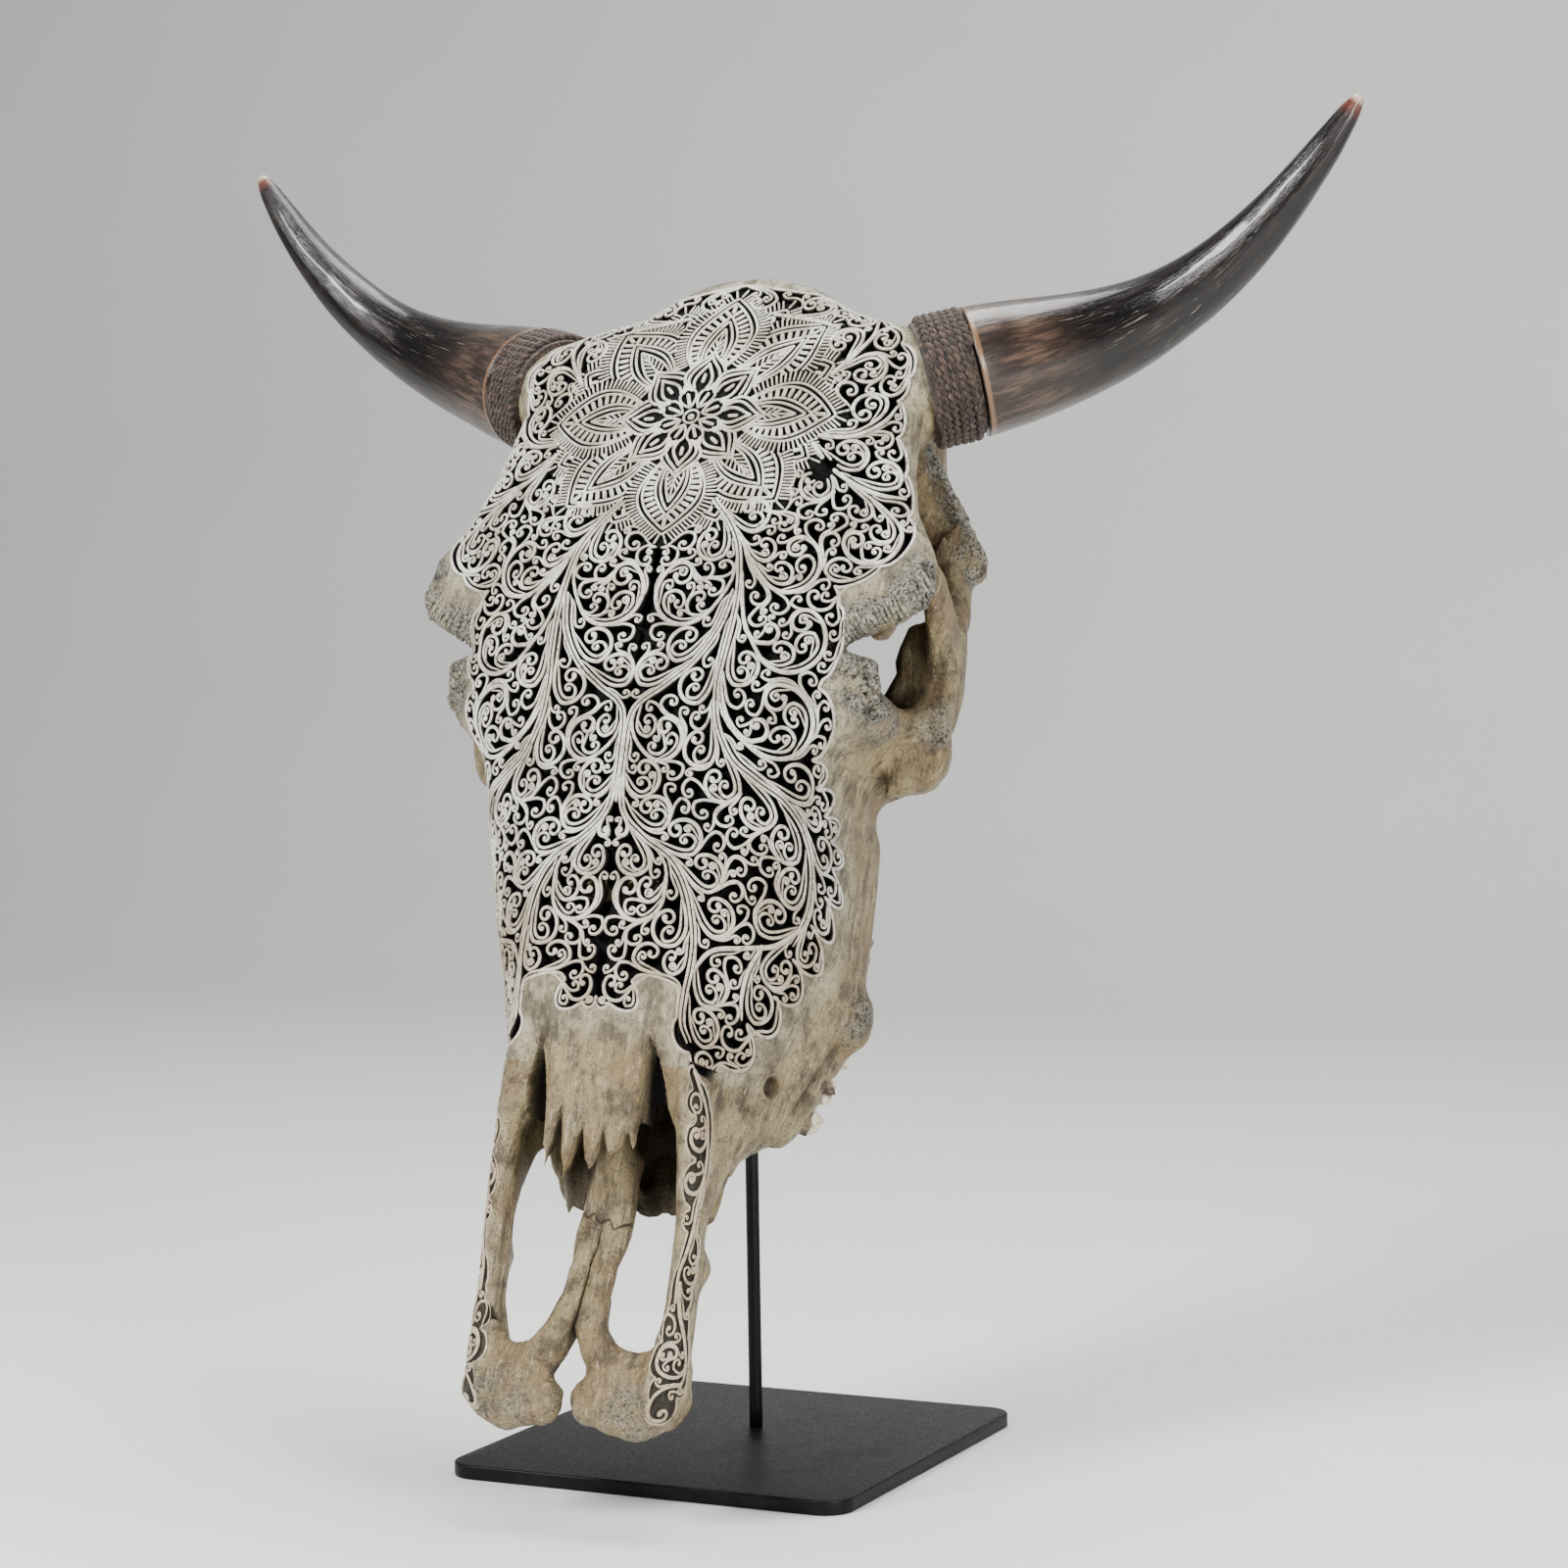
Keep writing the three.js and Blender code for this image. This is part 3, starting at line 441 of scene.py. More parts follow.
def shapeBone(p, n):
    # the crown rises to a soft point and the inner bars are slimmer
    x, y, z = p.T.copy()
    z += bone["crown"] * np.exp(-(x / 42) ** 2) * ease(462, 492, z)
    bars = ease(30, 26, np.abs(x)) * ease(40, 52, z) * ease(122, 108, z) * ease(49, 54, y)
    x, y, z = (np.c_[x, y, z] - n * (bone["slimmer"] * bars)[:, None]).T
    # the inner bars slide, and the edge of the palate is uneven
    shift = growths["barShift"]
    inner = ease(34, 26, np.abs(x)) * ease(100, 84, y) * np.where(z > 92, ease(34, 42, y), 1.0)
    x = x - np.sign(x) * np.minimum(np.interp(z, shift["z"], shift["in"]), np.abs(x) - 0.3) * inner
    y = y - np.interp(z, shift["z"], shift["front"]) * inner
    shelf = ease(62, 68, y) * ease(150, 125, z) * ease(96, 102, z)
    z = z + shelf * bone["shelf"] * cloud(np.c_[x, y, z] * (1, 0.3, 0.3), 6.0, 31.0, 3)
    # deep notches between the points of the nose bones
    nose = ease(44, 36, y) * ease(24, 20, np.abs(x)) * ease(96, 100, z)
    for at, wide, deep in growths["notches"]:
        z = z + nose * deep * np.exp(-((x - at) / wide) ** 2) * ease(138, 112, z)
    p = np.c_[x, y, z]
    rough = ease(46, 30, z) * bone["pads"] * cloud(p, 8.0, 17.0, 4)
    return p + n * (rough + bone["uneven"] * cloud(p * (1, 1, 0.4), 7.0, 3.0, 3))[:, None]


skullMesh = remeshed(addGrowths(merged("skull")), bone["voxel"])
skullPoints = relax(toBone(pointsOf(skullMesh)), skullMesh, bone["rounds"])
setPoints(skullMesh, skullPoints)
skullPoints = shapeBone(skullPoints, normalsOf(skullMesh))
print("bone remeshed", len(skullMesh.vertices), len(skullMesh.polygons))

# A surface is unrolled round a core line: s runs across it, u up it, both in true millimetres


class Unrolled:
    def __init__(self, tree, levels, core, facing=0.0, spread=112, reach=190.0, half=130.0):
        self.z, self.facing = levels, facing
        self.core = columnsAt(levels, core["z"], np.array([core["x"], core["y"]], float).T)
        self.s = np.arange(-half, half + 0.5, 1.0)
        self.turns = np.radians(np.linspace(-spread, spread, 2 * spread + 1))
        rows, runs = [], []
        for z, (x, y) in zip(levels, self.core):
            middle = Vector((x, y, z))
            hits = []
            for a in self.turns + facing:
                away = Vector((math.sin(a), -math.cos(a), 0))
                hits.append(tree.ray_cast(middle + away * reach, -away, reach)[0] or middle)
            run = lengthAlong(np.array(hits))
            runs.append(run - run[spread])
            rows.append(columnsAt(self.s, runs[-1], np.array(hits)))
        self.runs, table = np.array(runs), np.array(rows)
        for _ in range(3):
            table[1:-1] = table[1:-1] * 0.5 + (table[:-2] + table[2:]) * 0.25
            table[:, 1:-1] = table[:, 1:-1] * 0.5 + (table[:, :-2] + table[:, 2:]) * 0.25
        self.u = lengthAlong(table[:, len(self.s) // 2]) + levels[0]
        self.table, self.out = table, unit(np.cross(np.gradient(table, axis=1), np.gradient(table, axis=0)))

    def cell(self, values, marks):
        # the number of the mark below each value, and how far it is on towards the next
        i = np.interp(values, marks, np.arange(len(marks)))
        a = np.minimum(i.astype(int), len(marks) - 2)
        return a, i - a

    def sample(self, grid, s, u):
        (a, f), (b, g) = self.cell(u, self.u), self.cell(s, self.s)
        return between(grid, a, b, f[:, None], g[:, None])

    def lift(self, s, u, h):
        over = np.maximum(u - self.u[-1], 0)[:, None]
        rise = self.table[-1, len(self.s) // 2] - self.table[-4, len(self.s) // 2]
        return (self.sample(self.table, s, u) + unit(self.sample(self.out, s, u)) * np.asarray(h)[:, None]
                + over * unit(rise))

    def find(self, p, normals, within):
        # s and u of points, whether they lie on this surface, and the way out of it
        core = columnsAt(p[:, 2], self.z, self.core)
        angle = np.arctan2(p[:, 0] - core[:, 0], core[:, 1] - p[:, 1]) - self.facing
        angle = (angle + math.pi) % (2 * math.pi) - math.pi
        (a, f), (b, g) = self.cell(p[:, 2], self.z), self.cell(angle, self.turns)
        s, u = between(self.runs, a, b, f, g), np.interp(p[:, 2], self.z, self.u)
        out = self.sample(self.out, s, u)
        near = np.linalg.norm(p - self.lift(s, u, np.zeros(len(p))), axis=1) < within
        return s, u, near & (np.sum(out * normals, axis=1) > 0.2), out


# core lines in the bone's frame: inside the head, and inside the outer bar of the front jaw bone
cores = {"face": {"z": (0, 470, 500), "x": (0, 0, 0), "y": (66, 66, 81)},
         "bar": {"z": (24, 55, 95, 130, 158), "x": (38, 42, 42.5, 41, 38), "y": (53, 49, 44, 40, 37)}}

skullTree = treeOf(skullPoints, skullMesh)
face = Unrolled(skullTree, np.arange(150.0, 492.0, 2.0), cores["face"])
jawBars = {}
for side, _ in sides:
    core = dict(cores["bar"], x=[side * x for x in cores["bar"]["x"]])
    jawBars[side] = Unrolled(skullTree, np.arange(8.0, 158.0, 2.0), core, side * math.radians(56), 88,
                             20.0, 16.0)
print("face and jaw bars unrolled")

# The carving's plan, all in millimetres on the unrolled face; one half is drawn and turned over

# strand is a scroll's half width; caps are the largest circles that each kind of strand may carry
plan = {"cell": 0.5, "strand": 0.72, "smallest": 1.6, "reach": 16.0, "step": 0.8, "highest": 505,
        "caps": {"edge": 6.0, "rim": 4.6, "stem": 7.6, "big": 5.4, "curl": 4.6}}

# the lace's edge, from the poll down to the nose: s, u, and how far the arc that starts there swells
laceEdge = [
    (0, 497, 0.0), (30, 492, 0.1), (58, 482, 0.12), (74, 470, 0.2), (83, 458, 0.25), (89, 441, 0.15),
    (87, 430, 0.2), (91, 412, 0.15), (98, 396, 0.15), (103, 376, 0.28), (96, 352, 0.15), (79, 342, 0.1),
    (82, 335, 0.16), (80, 303, 0.0), (79, 300, 0.28), (80, 274, 0.0),
    (81, 274, 0.75), (84, 265, 0.0), (86, 265, 0.95), (91, 257, 0.0), (93, 257, 0.98), (97, 249, 0.0),
    (99, 249, 1.0), (100, 240, 0.0), (101, 239, 0.98), (96, 228, 0.0), (98, 227, 0.85), (89, 215, 0.0),
    (92, 214, 0.8), (82, 200, 0.0), (85, 199, 0.62), (76, 184, 0.0), (78, 184, 0.6), (66, 171, 0.0),
    (67, 169, 0.55), (58, 153, 0.5), (42, 153, 0.3), (35, 166, 0.0), (35, 177, -0.1), (17, 181, 0.0),
    (15, 179, 0.7), (6.5, 169.5, 0.0), (6, 170, 0.5), (0, 172, 0.0)]

laceStems = {
    "main": [(21, 379), (30, 369), (36, 358), (39, 344), (40, 328), (39, 312), (38, 298), (40, 283),
             (47, 269), (58, 261.5), (70, 256), (80, 247), (86, 234), (86, 219), (80, 205)],
    "inner": [(38, 338), (34.5, 322), (26, 308), (15, 298), (5, 291), (1.4, 283), (1.2, 265), (1.2, 250)],
    "nose": [(1.2, 262), (4, 246), (14, 236), (26, 228), (34, 216), (37.5, 203), (39, 190), (37.5, 176),
             (37.5, 164), (41, 157)],
    "cross": [(84, 212), (72, 202.5), (58, 198), (46, 194), (39.5, 184)],
    "low": [(66, 200.5), (62, 190), (61, 180), (63, 172)],
    "temple": [(58, 405), (66, 396), (78, 388), (90, 384), (100, 384)],
    "side": [(60, 409), (74, 410), (84, 418), (88, 428)],
    "high": [(58, 440), (66, 452), (70, 462), (68, 472)],
    "crown": [(20, 478), (30, 476), (42, 473), (54, 466)],
}
thickStems = ("main", "inner", "nose")
# scrolls laid first: centre s and u, radius, what each leaves and how far up that; wide0 is the first of them
wideScrolls = [
    (17.2, 338.5, 15.2, "main", 24), (60, 350.5, 13.2, "main", 26), (65.5, 318.5, 14.8, "main", 26),
    (64, 285.5, 15.2, "main", 30), (90.5, 364, 12.5, "temple", 18), (14.2, 213, 11.0, "nose", 16),
    (17, 276, 9.5, "inner", 16), (56.0, 320.0, 4.8, "wide2", 9), (56.5, 281.0, 4.8, "wide3", 9),
    (3.9, 238.6, 3.0, "nose", 8),
]


def evenly(p, step, half=None):
    run = lengthAlong(p)
    at = np.linspace(0, run[-1], max(int(round(run[-1] / step)), 2) + 1)
    return columnsAt(at, run, p) if half is None else (columnsAt(at, run, p), np.interp(at, run, half))


def smoothLine(points, step):
    p = np.array(points, float)
    p = np.vstack([2 * p[0] - p[1], p, 2 * p[-1] - p[-2]])
    out = []
    for a, b, c, d in zip(p, p[1:], p[2:], p[3:]):
        for t in np.linspace(0, 1, 16, endpoint=False):
            out.append(0.5 * (2 * b + (c - a) * t + (2 * a - 5 * b + 4 * c - d) * t * t
                              + (3 * b - a - 3 * c + d) * t ** 3))
    out.append(p[-2])
    return evenly(np.array(out), step)


def edgeLine(corners, step):
    out = []
    for (s0, u0, swell), (s1, u1, _) in zip(corners, corners[1:]):
        a, chord = np.array([s0, u0], float), np.array([s1 - s0, u1 - u0], float)
        left = np.array([-chord[1], chord[0]])
        for t in np.linspace(0, 1, 13, endpoint=False):
            out.append(a + chord * t + left * swell * math.sin(math.pi * t) ** 0.55)
    out.append(np.array(corners[-1][:2], float))
    return evenly(np.array(out), step)


def headings(p):
    t = np.gradient(p, axis=0)
    return t / (np.hypot(*t.T)[:, None] + 1e-9)


class Room:
    # how far each spot of the plan is from the nearest strand; what is taken reads below zero
    def __init__(self, border, low, size):
        self.low = np.array(low, float)
        self.shape = (int(size[0] / plan["cell"]), int(size[1] / plan["cell"]))
        s = self.low[0] + np.arange(self.shape[0]) * plan["cell"]
        u = self.low[1] + np.arange(self.shape[1]) * plan["cell"]
        self.s, self.u = np.meshgrid(s, u, indexing="ij")
        inside = np.zeros(self.shape, bool)
        for a, b in zip(border, np.roll(border, -1, axis=0)):
            if a[1] != b[1]:
                cross = (a[1] > self.u) != (b[1] > self.u)
                inside ^= cross & (self.s < (b[0] - a[0]) * (self.u - a[1]) / (b[1] - a[1]) + a[0])
        self.inside = inside
        self.free = np.full(self.shape, plan["reach"])
        self.add(border, 0.0)
        self.toEdge = np.where(inside, self.free, -self.free)
        self.free = np.where(inside, self.free, -1.0)

    def add(self, points, half):
        k = int(plan["reach"] / plan["cell"])
        for (s, u), w in zip(points, np.broadcast_to(half, len(points))):
            i, j = int((s - self.low[0]) / plan["cell"]), int((u - self.low[1]) / plan["cell"])
            a, b, c, d = max(i - k, 0), min(i + k, self.shape[0]), max(j - k, 0), min(j + k, self.shape[1])
            if a < b and c < d:
                part = self.free[a:b, c:d]
                np.minimum(part, np.hypot(self.s[a:b, c:d] - s, self.u[a:b, c:d] - u) - w, out=part)

    def at(self, s, u):
        i, j = (s - self.low[0]) / plan["cell"], (u - self.low[1]) / plan["cell"]
        if not (0 <= i < self.shape[0] - 1 and 0 <= j < self.shape[1] - 1):
            return -1.0
        a, b = int(i), int(j)
        return between(self.free, a, b, i - a, j - b)

    def look(self, grid, s, u, outside):
        i, j = (s - self.low[0]) / plan["cell"], (u - self.low[1]) / plan["cell"]
        good = (i >= 0) & (i < self.shape[0] - 1) & (j >= 0) & (j < self.shape[1] - 1)
        a, b = np.where(good, i, 0).astype(int), np.where(good, j, 0).astype(int)
        found = between(grid, a, b, np.where(good, i - a, 0), np.where(good, j - b, 0))
        return np.where(good, found, outside)


def turned(v, angle):
    c, s = math.cos(angle), math.sin(angle)
    x, y = v.T
    return np.array([x * c - y * s, x * s + y * c]).T


def aimed(v):
    return v / np.hypot(*v)


# by least radius: how far a scroll rounds its circle, its inner coil's share of it, and how far that winds
scrollTurns = [(6.5, 205, 0.42, 290), (3.2, 170, 0.47, 215), (0, 140, 0.56, 125)]


def scroll(start, heading, centre, radius, side, toStem):
    # leaves its parent along the parent's own heading, rounds the circle and winds in to a bud
    first = math.radians(58 if radius < 9 else 40)
    out = centre + turned(toStem, side * first) * radius
    along = turned(np.array([-toStem[1], toStem[0]]) * side, side * first)
    span = np.hypot(*(out - start))
    b, c = start + heading * span * 0.45, out - along * span * 0.35
    t = np.linspace(0, 1, 7, endpoint=False)[:, None]
    lead = start * (1 - t) ** 3 + 3 * b * t * (1 - t) ** 2 + 3 * c * t * t * (1 - t) + out * t ** 3
    outer, inner, turns = next(row[1:] for row in scrollTurns if radius > row[0])
    outer, turns = math.radians(outer), math.radians(turns)
    n = max(int(radius * outer / 1.1), 4)
    ring = [centre + turned(toStem, side * (first + outer * k / n)) * radius * (1 - 0.05 * k / n)
            for k in range(n)]
    far = turned(toStem, side * (first + outer))
    small = radius * 0.95 * inner
    hub = centre + far * (radius * 0.95 - small)
    m = max(int(small * turns / 0.8), 6)
    coil = [hub + turned(far, side * turns * k / m) * small * (1 - 0.58 * (k / m) ** 1.2)
            for k in range(m + 1)]
    return np.vstack([lead, ring, coil])


def swelling(p, half):
    # thin where it leaves, full round the bend, finer again as it winds in, and a bud at the end
    run = lengthAlong(p)
    w = half * np.interp(run / run[-1], (0, 0.12, 0.5, 0.72, 0.9, 1), (0.5, 0.72, 1.1, 1.1, 0.84, 0.84))
    return w + half * 0.75 * ease(1.7, 0.2, run[-1] - run)


def strand(points, half, kind, side=0.0):
    return {"p": points, "t": headings(points), "w": half, "kind": kind, "side": side}


def freeCircle(room, path, i, side):
    # the largest circle that touches this strand here, on this side, and nothing else
    w = plan["strand"]
    cap = plan["caps"][path["kind"]]
    if path["kind"] in ("edge", "rim") and side > 0:
        return 0, None
    if path["kind"] in ("curl", "big") and side != path["side"]:
        cap = min(cap, 4.2)
    n = np.array([-path["t"][i][1], path["t"][i][0]]) * side
    lift = path["w"][i] + 0.25 * w
    r = cap
    while r >= plan["smallest"]:
        c = path["p"][i] + n * (lift + r)
        d = room.at(c[0], c[1])
        if d >= r + 0.25 * w - 0.3:
            return r, c
        r = min(r - 0.25, max(d - 0.25 * w + 0.28, r * 0.55)) if d > 0 else r * 0.75
    return 0, None


def hugging(room, path, j, m, side, own):
    # a lead that leaves its parent at once and runs close beside it, with a fine groove between
    at = np.arange(j, m + 1)
    run = lengthAlong(path["p"][j:m + 1])
    away = path["w"][at] * 0.7 + (path["w"][at] * 0.3 + own + 0.4) * ease(0.0, 3.2, run)
    lead = path["p"][at] + np.c_[-path["t"][at, 1], path["t"][at, 0]] * (side * away)[:, None]
    return lead, all(room.at(s, u) > own * 0.75 for s, u in lead[run > 3.2])


def leadFree(room, path, m, i, front):
    near = path["p"][max(m - 4, 0):i + 8]
    for q in front:
        if np.min(np.hypot(*(near - q).T)) > path["w"][i] + plan["strand"] and \
                room.at(q[0], q[1]) < plan["strand"] * 0.55:
            return False
    return True


def fillWithScrolls(room, paths):
    w = plan["strand"]
    queue, order = [], 0

    def offer(k):
        nonlocal order
        path = paths[k]
        last = len(path["p"]) if path["kind"] != "curl" else int(len(path["p"]) * 0.62)
        for i in range(2, last - 1, 1 if path["kind"] in ("big", "curl") else 2):
            for side in (1.0, -1.0):
                r, _ = freeCircle(room, path, i, side)
                if r:
                    order += 1
                    heapq.heappush(queue, (-r, order, k, i, side))

    for k in range(len(paths)):
        offer(k)
    while queue:
        wanted, _, k, i, side = heapq.heappop(queue)
        path = paths[k]
        r, c = freeCircle(room, path, i, side)
        if not r:
            continue
        if r < -wanted - 0.05:
            order += 1
            heapq.heappush(queue, (-r, order, k, i, side))
            continue
        toStem = aimed(path["p"][i] - c)
        own = w * min(0.66 + 0.065 * r, 1.15)
        steps = np.hypot(*np.diff(path["p"][:i + 1], axis=0).T)[::-1].cumsum()
        for lead in (4.8, 3.8, 3.0, 2.3, 1.7, 1.2, 0.8, 0.4):
            j = max(i - 1 - int(np.searchsorted(steps, lead * r)), 0)
            m = max(i - 1 - int(np.searchsorted(steps, min(lead, 1.5) * r)), j)
            hug, clear = hugging(room, path, j, m, side, own)
            if not clear:
                continue
            made = scroll(hug[-1], path["t"][m], c, r - 0.15 * w, side, toStem)
            if leadFree(room, path, m, i, made[1:7]):
                lead = len(hug) + 8
                made = np.vstack([hug[:-1], made])
                for _ in range(10):
                    made[1:lead] = made[1:lead] * 0.5 + (made[:lead - 1] + made[2:lead + 1]) * 0.25
                break
        else:
            continue
        half = swelling(made, own)
        room.add(*evenly(made, 0.6, half))
        paths.append(strand(made, half, "curl", side))
        offer(len(paths) - 1)


# The flower on the forehead: rings of petals, the front ones hiding parts of those behind

flower = {"centre": 419.5, "up": 1.12, "down": 0.9, "wide": 1.04, "fringe": 5.0}
# ring, how many, first turn, reach, root, half width, point, shoulder, kind
flowerRings = [
    (0, 8, 0.0625, 14.2, 4.8, 3.5, 0.6, 0.62, "bud"), (1, 8, 0.0, 33.0, 11.0, 8.6, 2.0, 0.40, "inner"),
    (2, 4, 0.0, 62.0, 17.0, 14.6, 1.25, 0.54, "outer"), (3, 4, 0.125, 65.0, 17.0, 15.4, 1.25, 0.54, "outer"),
    (4, 8, 0.0625, 60.0, 20.0, 11.5, 1.2, 0.55, "outer")]


def petalWidth(a, reach, root, half, point, shoulder):
    t = clamp01((a - root) / (reach - root))
    rise = np.sin(np.pi * 0.5 * clamp01(t / shoulder)) ** 0.8
    fall = np.cos(np.pi * 0.5 * clamp01((t - shoulder) / (1 - shoulder))) ** (0.75 * point)
    return half * rise * fall


def petalLine(reach, root, half, point, shoulder, step=1.1):
    a = root + (reach - root) * (1 - (1 - np.linspace(0, 1, 26)) ** 1.25)
    w = petalWidth(a, reach, root, half, point, shoulder)
    return evenly(np.vstack([np.c_[a, w], np.c_[a, -w][::-1][1:]]), step)


def petalStrokes(kind, reach, root, half, point, shoulder):
    inset = lambda grow, step=1.1: petalLine(reach + grow * 1.35, root, half + grow, point, shoulder, step)
    if kind == "bud":
        return [(inset(0, 0.7), 0.62), (np.array([[root + 1.8, 0], [reach - 2.9, 0]]), 0.85)]
    if kind == "inner":
        made = [(inset(shrink, 1.0), w) for shrink, w in ((0, 0.8), (-2.1, 0.72), (-4.9, 0.75))]
        return made + [(np.array([[root + 6, 0], [reach - 13, 0]]), 0.85)]
    made = [(inset(shrink), 0.66) for shrink in (0, -2.0, -7.2, -9.2)]
    for line, near, far, w in ((inset(0, 1.65), 1.2, flower["fringe"], 0.5),
                               (inset(-4.6, 3.0), -1.35, 1.35, 1.0)):
        t = headings(line)
        out = np.c_[-t[:, 1], t[:, 0]]
        made += [(np.array([line[i] + out[i] * near, line[i] + out[i] * far]), w)
                 for i in range(2, len(line) - 2) if line[i, 0] > root + 9]
    if half > 13.5:
        shape = (reach - 16.5, root + 4, half - 11.0, point * 1.1, 0.42)
        made += [(petalLine(*shape), 0.6), (np.array([[root + 7, 0], [reach - 19, 0]]), 0.5)]
        for a in np.arange(root + 9, reach - 21, 2.6):
            w = petalWidth(a + 2.0, *shape) - 0.8
            if w > 1.1:
                made += [(np.array([[a, 0.7 * m], [a + 2.4, w * m]]), 0.5) for m in (1, -1)]
    return made


def underPetals(p, petals, core=4.0):
    hidden = np.hypot(p[:, 0], p[:, 1]) < core
    for angle, shape, margin in petals:
        q = turned(p, -angle)
        reach, root = shape[0], shape[1]
        wide = np.abs(q[:, 1]) < petalWidth(q[:, 0], *shape) + margin
        tip = np.hypot(np.maximum(q[:, 0] - reach + 1.5, 0) * 0.75, q[:, 1]) < margin + 0.2
        hidden |= wide & (q[:, 0] > root - 1) & ((q[:, 0] < reach - 1.0) | tip)
    return hidden


def drawFlower():
    ring = lambda r, n: np.c_[np.cos(np.linspace(0, 2 * np.pi, n)), np.sin(np.linspace(0, 2 * np.pi, n))] * r
    strokes, petals = [(ring(0.9, 13), 0.7), (ring(3.3, 19), 0.62)], []
    for level, count, first, reach, root, half, point, shoulder, kind in flowerRings:
        fresh = []
        shape = (reach, root, half, point, shoulder)
        for k in range(count):
            angle = 2 * math.pi * (k / count + first)
            above = petals if level == 2 else petals + fresh
            for line, w in petalStrokes(kind, *shape):
                line = turned(line if len(line) > 2 else evenly(line, 1.2), angle)
                shown = []
                for q, hide in zip(list(line) + [None], list(underPetals(line, above)) + [True]):
                    if not hide:
                        shown.append(q)
                        continue
                    if len(shown) > 1:
                        strokes.append((np.array(shown), w))
                    shown = []
            fresh.append((angle, shape, {"bud": 0.8, "inner": 1.0}.get(kind, flower["fringe"] + 0.6)))
        petals += fresh
    return strokes, petals


def flowerRim(petals):
    # how far out the petals hide the plan, from straight below to straight above
    turns = np.radians(np.linspace(-89, 89, 240))
    out = np.arange(30, 76, 0.5)
    away = np.array([(r * math.cos(a), r * math.sin(a)) for a in turns for r in out])
    hidden = underPetals(away, petals, 20.0).reshape(len(turns), len(out))
    reach = out[len(out) - 1 - np.argmax(hidden[:, ::-1], axis=1)]
    return np.c_[reach * np.cos(turns), reach * np.sin(turns)]


def onForehead(p):
    return np.c_[p[:, 0] * flower["wide"],
                 flower["centre"] + p[:, 1] * np.where(p[:, 1] > 0, flower["up"], flower["down"])]


def layStems(room, paths, stems, widths, wanted, own):
    # the stems, as wide as widths says, and the first scrolls that leave them
    named = {}
    for name, points in stems.items():
        p = smoothLine(points, plan["step"])
        w = widths(name, len(p))
        room.add(p, w)
        named[name] = strand(p, w, "stem")
        paths.append(named[name])
    for k, (s, u, r, stem, back) in enumerate(wanted):
        stem, c = named[stem], np.array([s, u], float)
        i = int(np.argmin(np.hypot(*(stem["p"] - c).T)))
        away, heading = c - stem["p"][i], stem["t"][i]
        side = 1.0 if heading[0] * away[1] - heading[1] * away[0] > 0 else -1.0
        j = max(i - int(back / plan["step"]), 0)
        start = stem["p"][j] + side * np.array([-stem["t"][j][1], stem["t"][j][0]]) * 0.6
        p = scroll(start, stem["t"][j], c, r - 0.6, side, aimed(stem["p"][i] - c))
        half = swelling(p, own)
        room.add(*evenly(p, 0.6, half))
        named["wide%d" % k] = strand(p, half, "big", side)
        paths.append(named["wide%d" % k])


def laceWidths(name, count):
    w = np.full(count, 1.35 if name in thickStems else 1.0)
    w[-12:] *= np.linspace(1, 0.5, 12)
    return w


def drawLace():
    border = edgeLine(laceEdge, plan["step"])
    room = Room(np.vstack([border, [[-2.5, border[-1][1]], [-2.5, border[0][1]]]]), (-2, 140), (134, 366))
    room.add(border, plan["strand"] + 0.15)
    room.add(np.c_[np.zeros(700), np.linspace(140, plan["highest"], 700)], 0.25)
    strokes, petals = drawFlower()
    away = np.c_[room.s.ravel() / flower["wide"], room.u.ravel() - flower["centre"]]
    away[:, 1] /= np.where(away[:, 1] > 0, flower["up"], flower["down"])
    room.flower = underPetals(away, petals, 20.0).reshape(room.shape).astype(float)
    spots = np.argwhere((room.flower > 0) & (np.roll(room.flower, 1, 0) * np.roll(room.flower, -1, 0)
                                             * np.roll(room.flower, 1, 1) * np.roll(room.flower, -1, 1) < 1))
    room.add(room.low + spots[::2] * plan["cell"], 0.1)
    room.free[room.flower > 0] = -1.0
    rim = evenly(onForehead(flowerRim(petals)), plan["step"])
    paths = [strand(border, np.full(len(border), 0.75), "edge"), strand(rim, np.full(len(rim), 0.3), "rim")]
    layStems(room, paths, laceStems, laceWidths, wideScrolls, 0.92)
    fillWithScrolls(room, paths)
    return room, paths, [(onForehead(line), w) for line, w in strokes]


# the strip down the outer bar of the front jaw bone: t runs across the bar, z along it
stripEdge = [
    (-9, 153, 0.0), (-2, 148, 0.12), (5.5, 140, 0.15), (8.3, 124, 0.08), (5.2, 110, 0.0), (2.6, 100, 0.0),
    (2.4, 90, 0.3), (4.4, 80, 0.3), (3.4, 70, 0.2), (2.6, 61, 0.1), (6, 51, 0.15), (9.6, 41, 0.1),
    (9.4, 33, 0.3), (4.0, 27.5, 0.0), (4.2, 26.5, 0.36), (-3.0, 14.8, 0.30), (-9.8, 24, 0.25),
    (-8.4, 33, 0.40), (-8.4, 47.5, 0.0), (-8.6, 48, 0.42), (-9.0, 58.5, 0.0), (-7.6, 65, 0.1),
    (-6.0, 76, 0.0), (-3.4, 87, 0.0), (-2.6, 90, 0.4), (-2.8, 98.5, 0.0), (-3.0, 99.5, 0.32),
    (-3.0, 117.0, 0.0), (-3.2, 118, 0.36), (-5.2, 133, 0.0), (-5.6, 134, 0.42), (-8.2, 144, 0.0),
    (-11, 149, 0.2), (-9, 153, 0.0)]
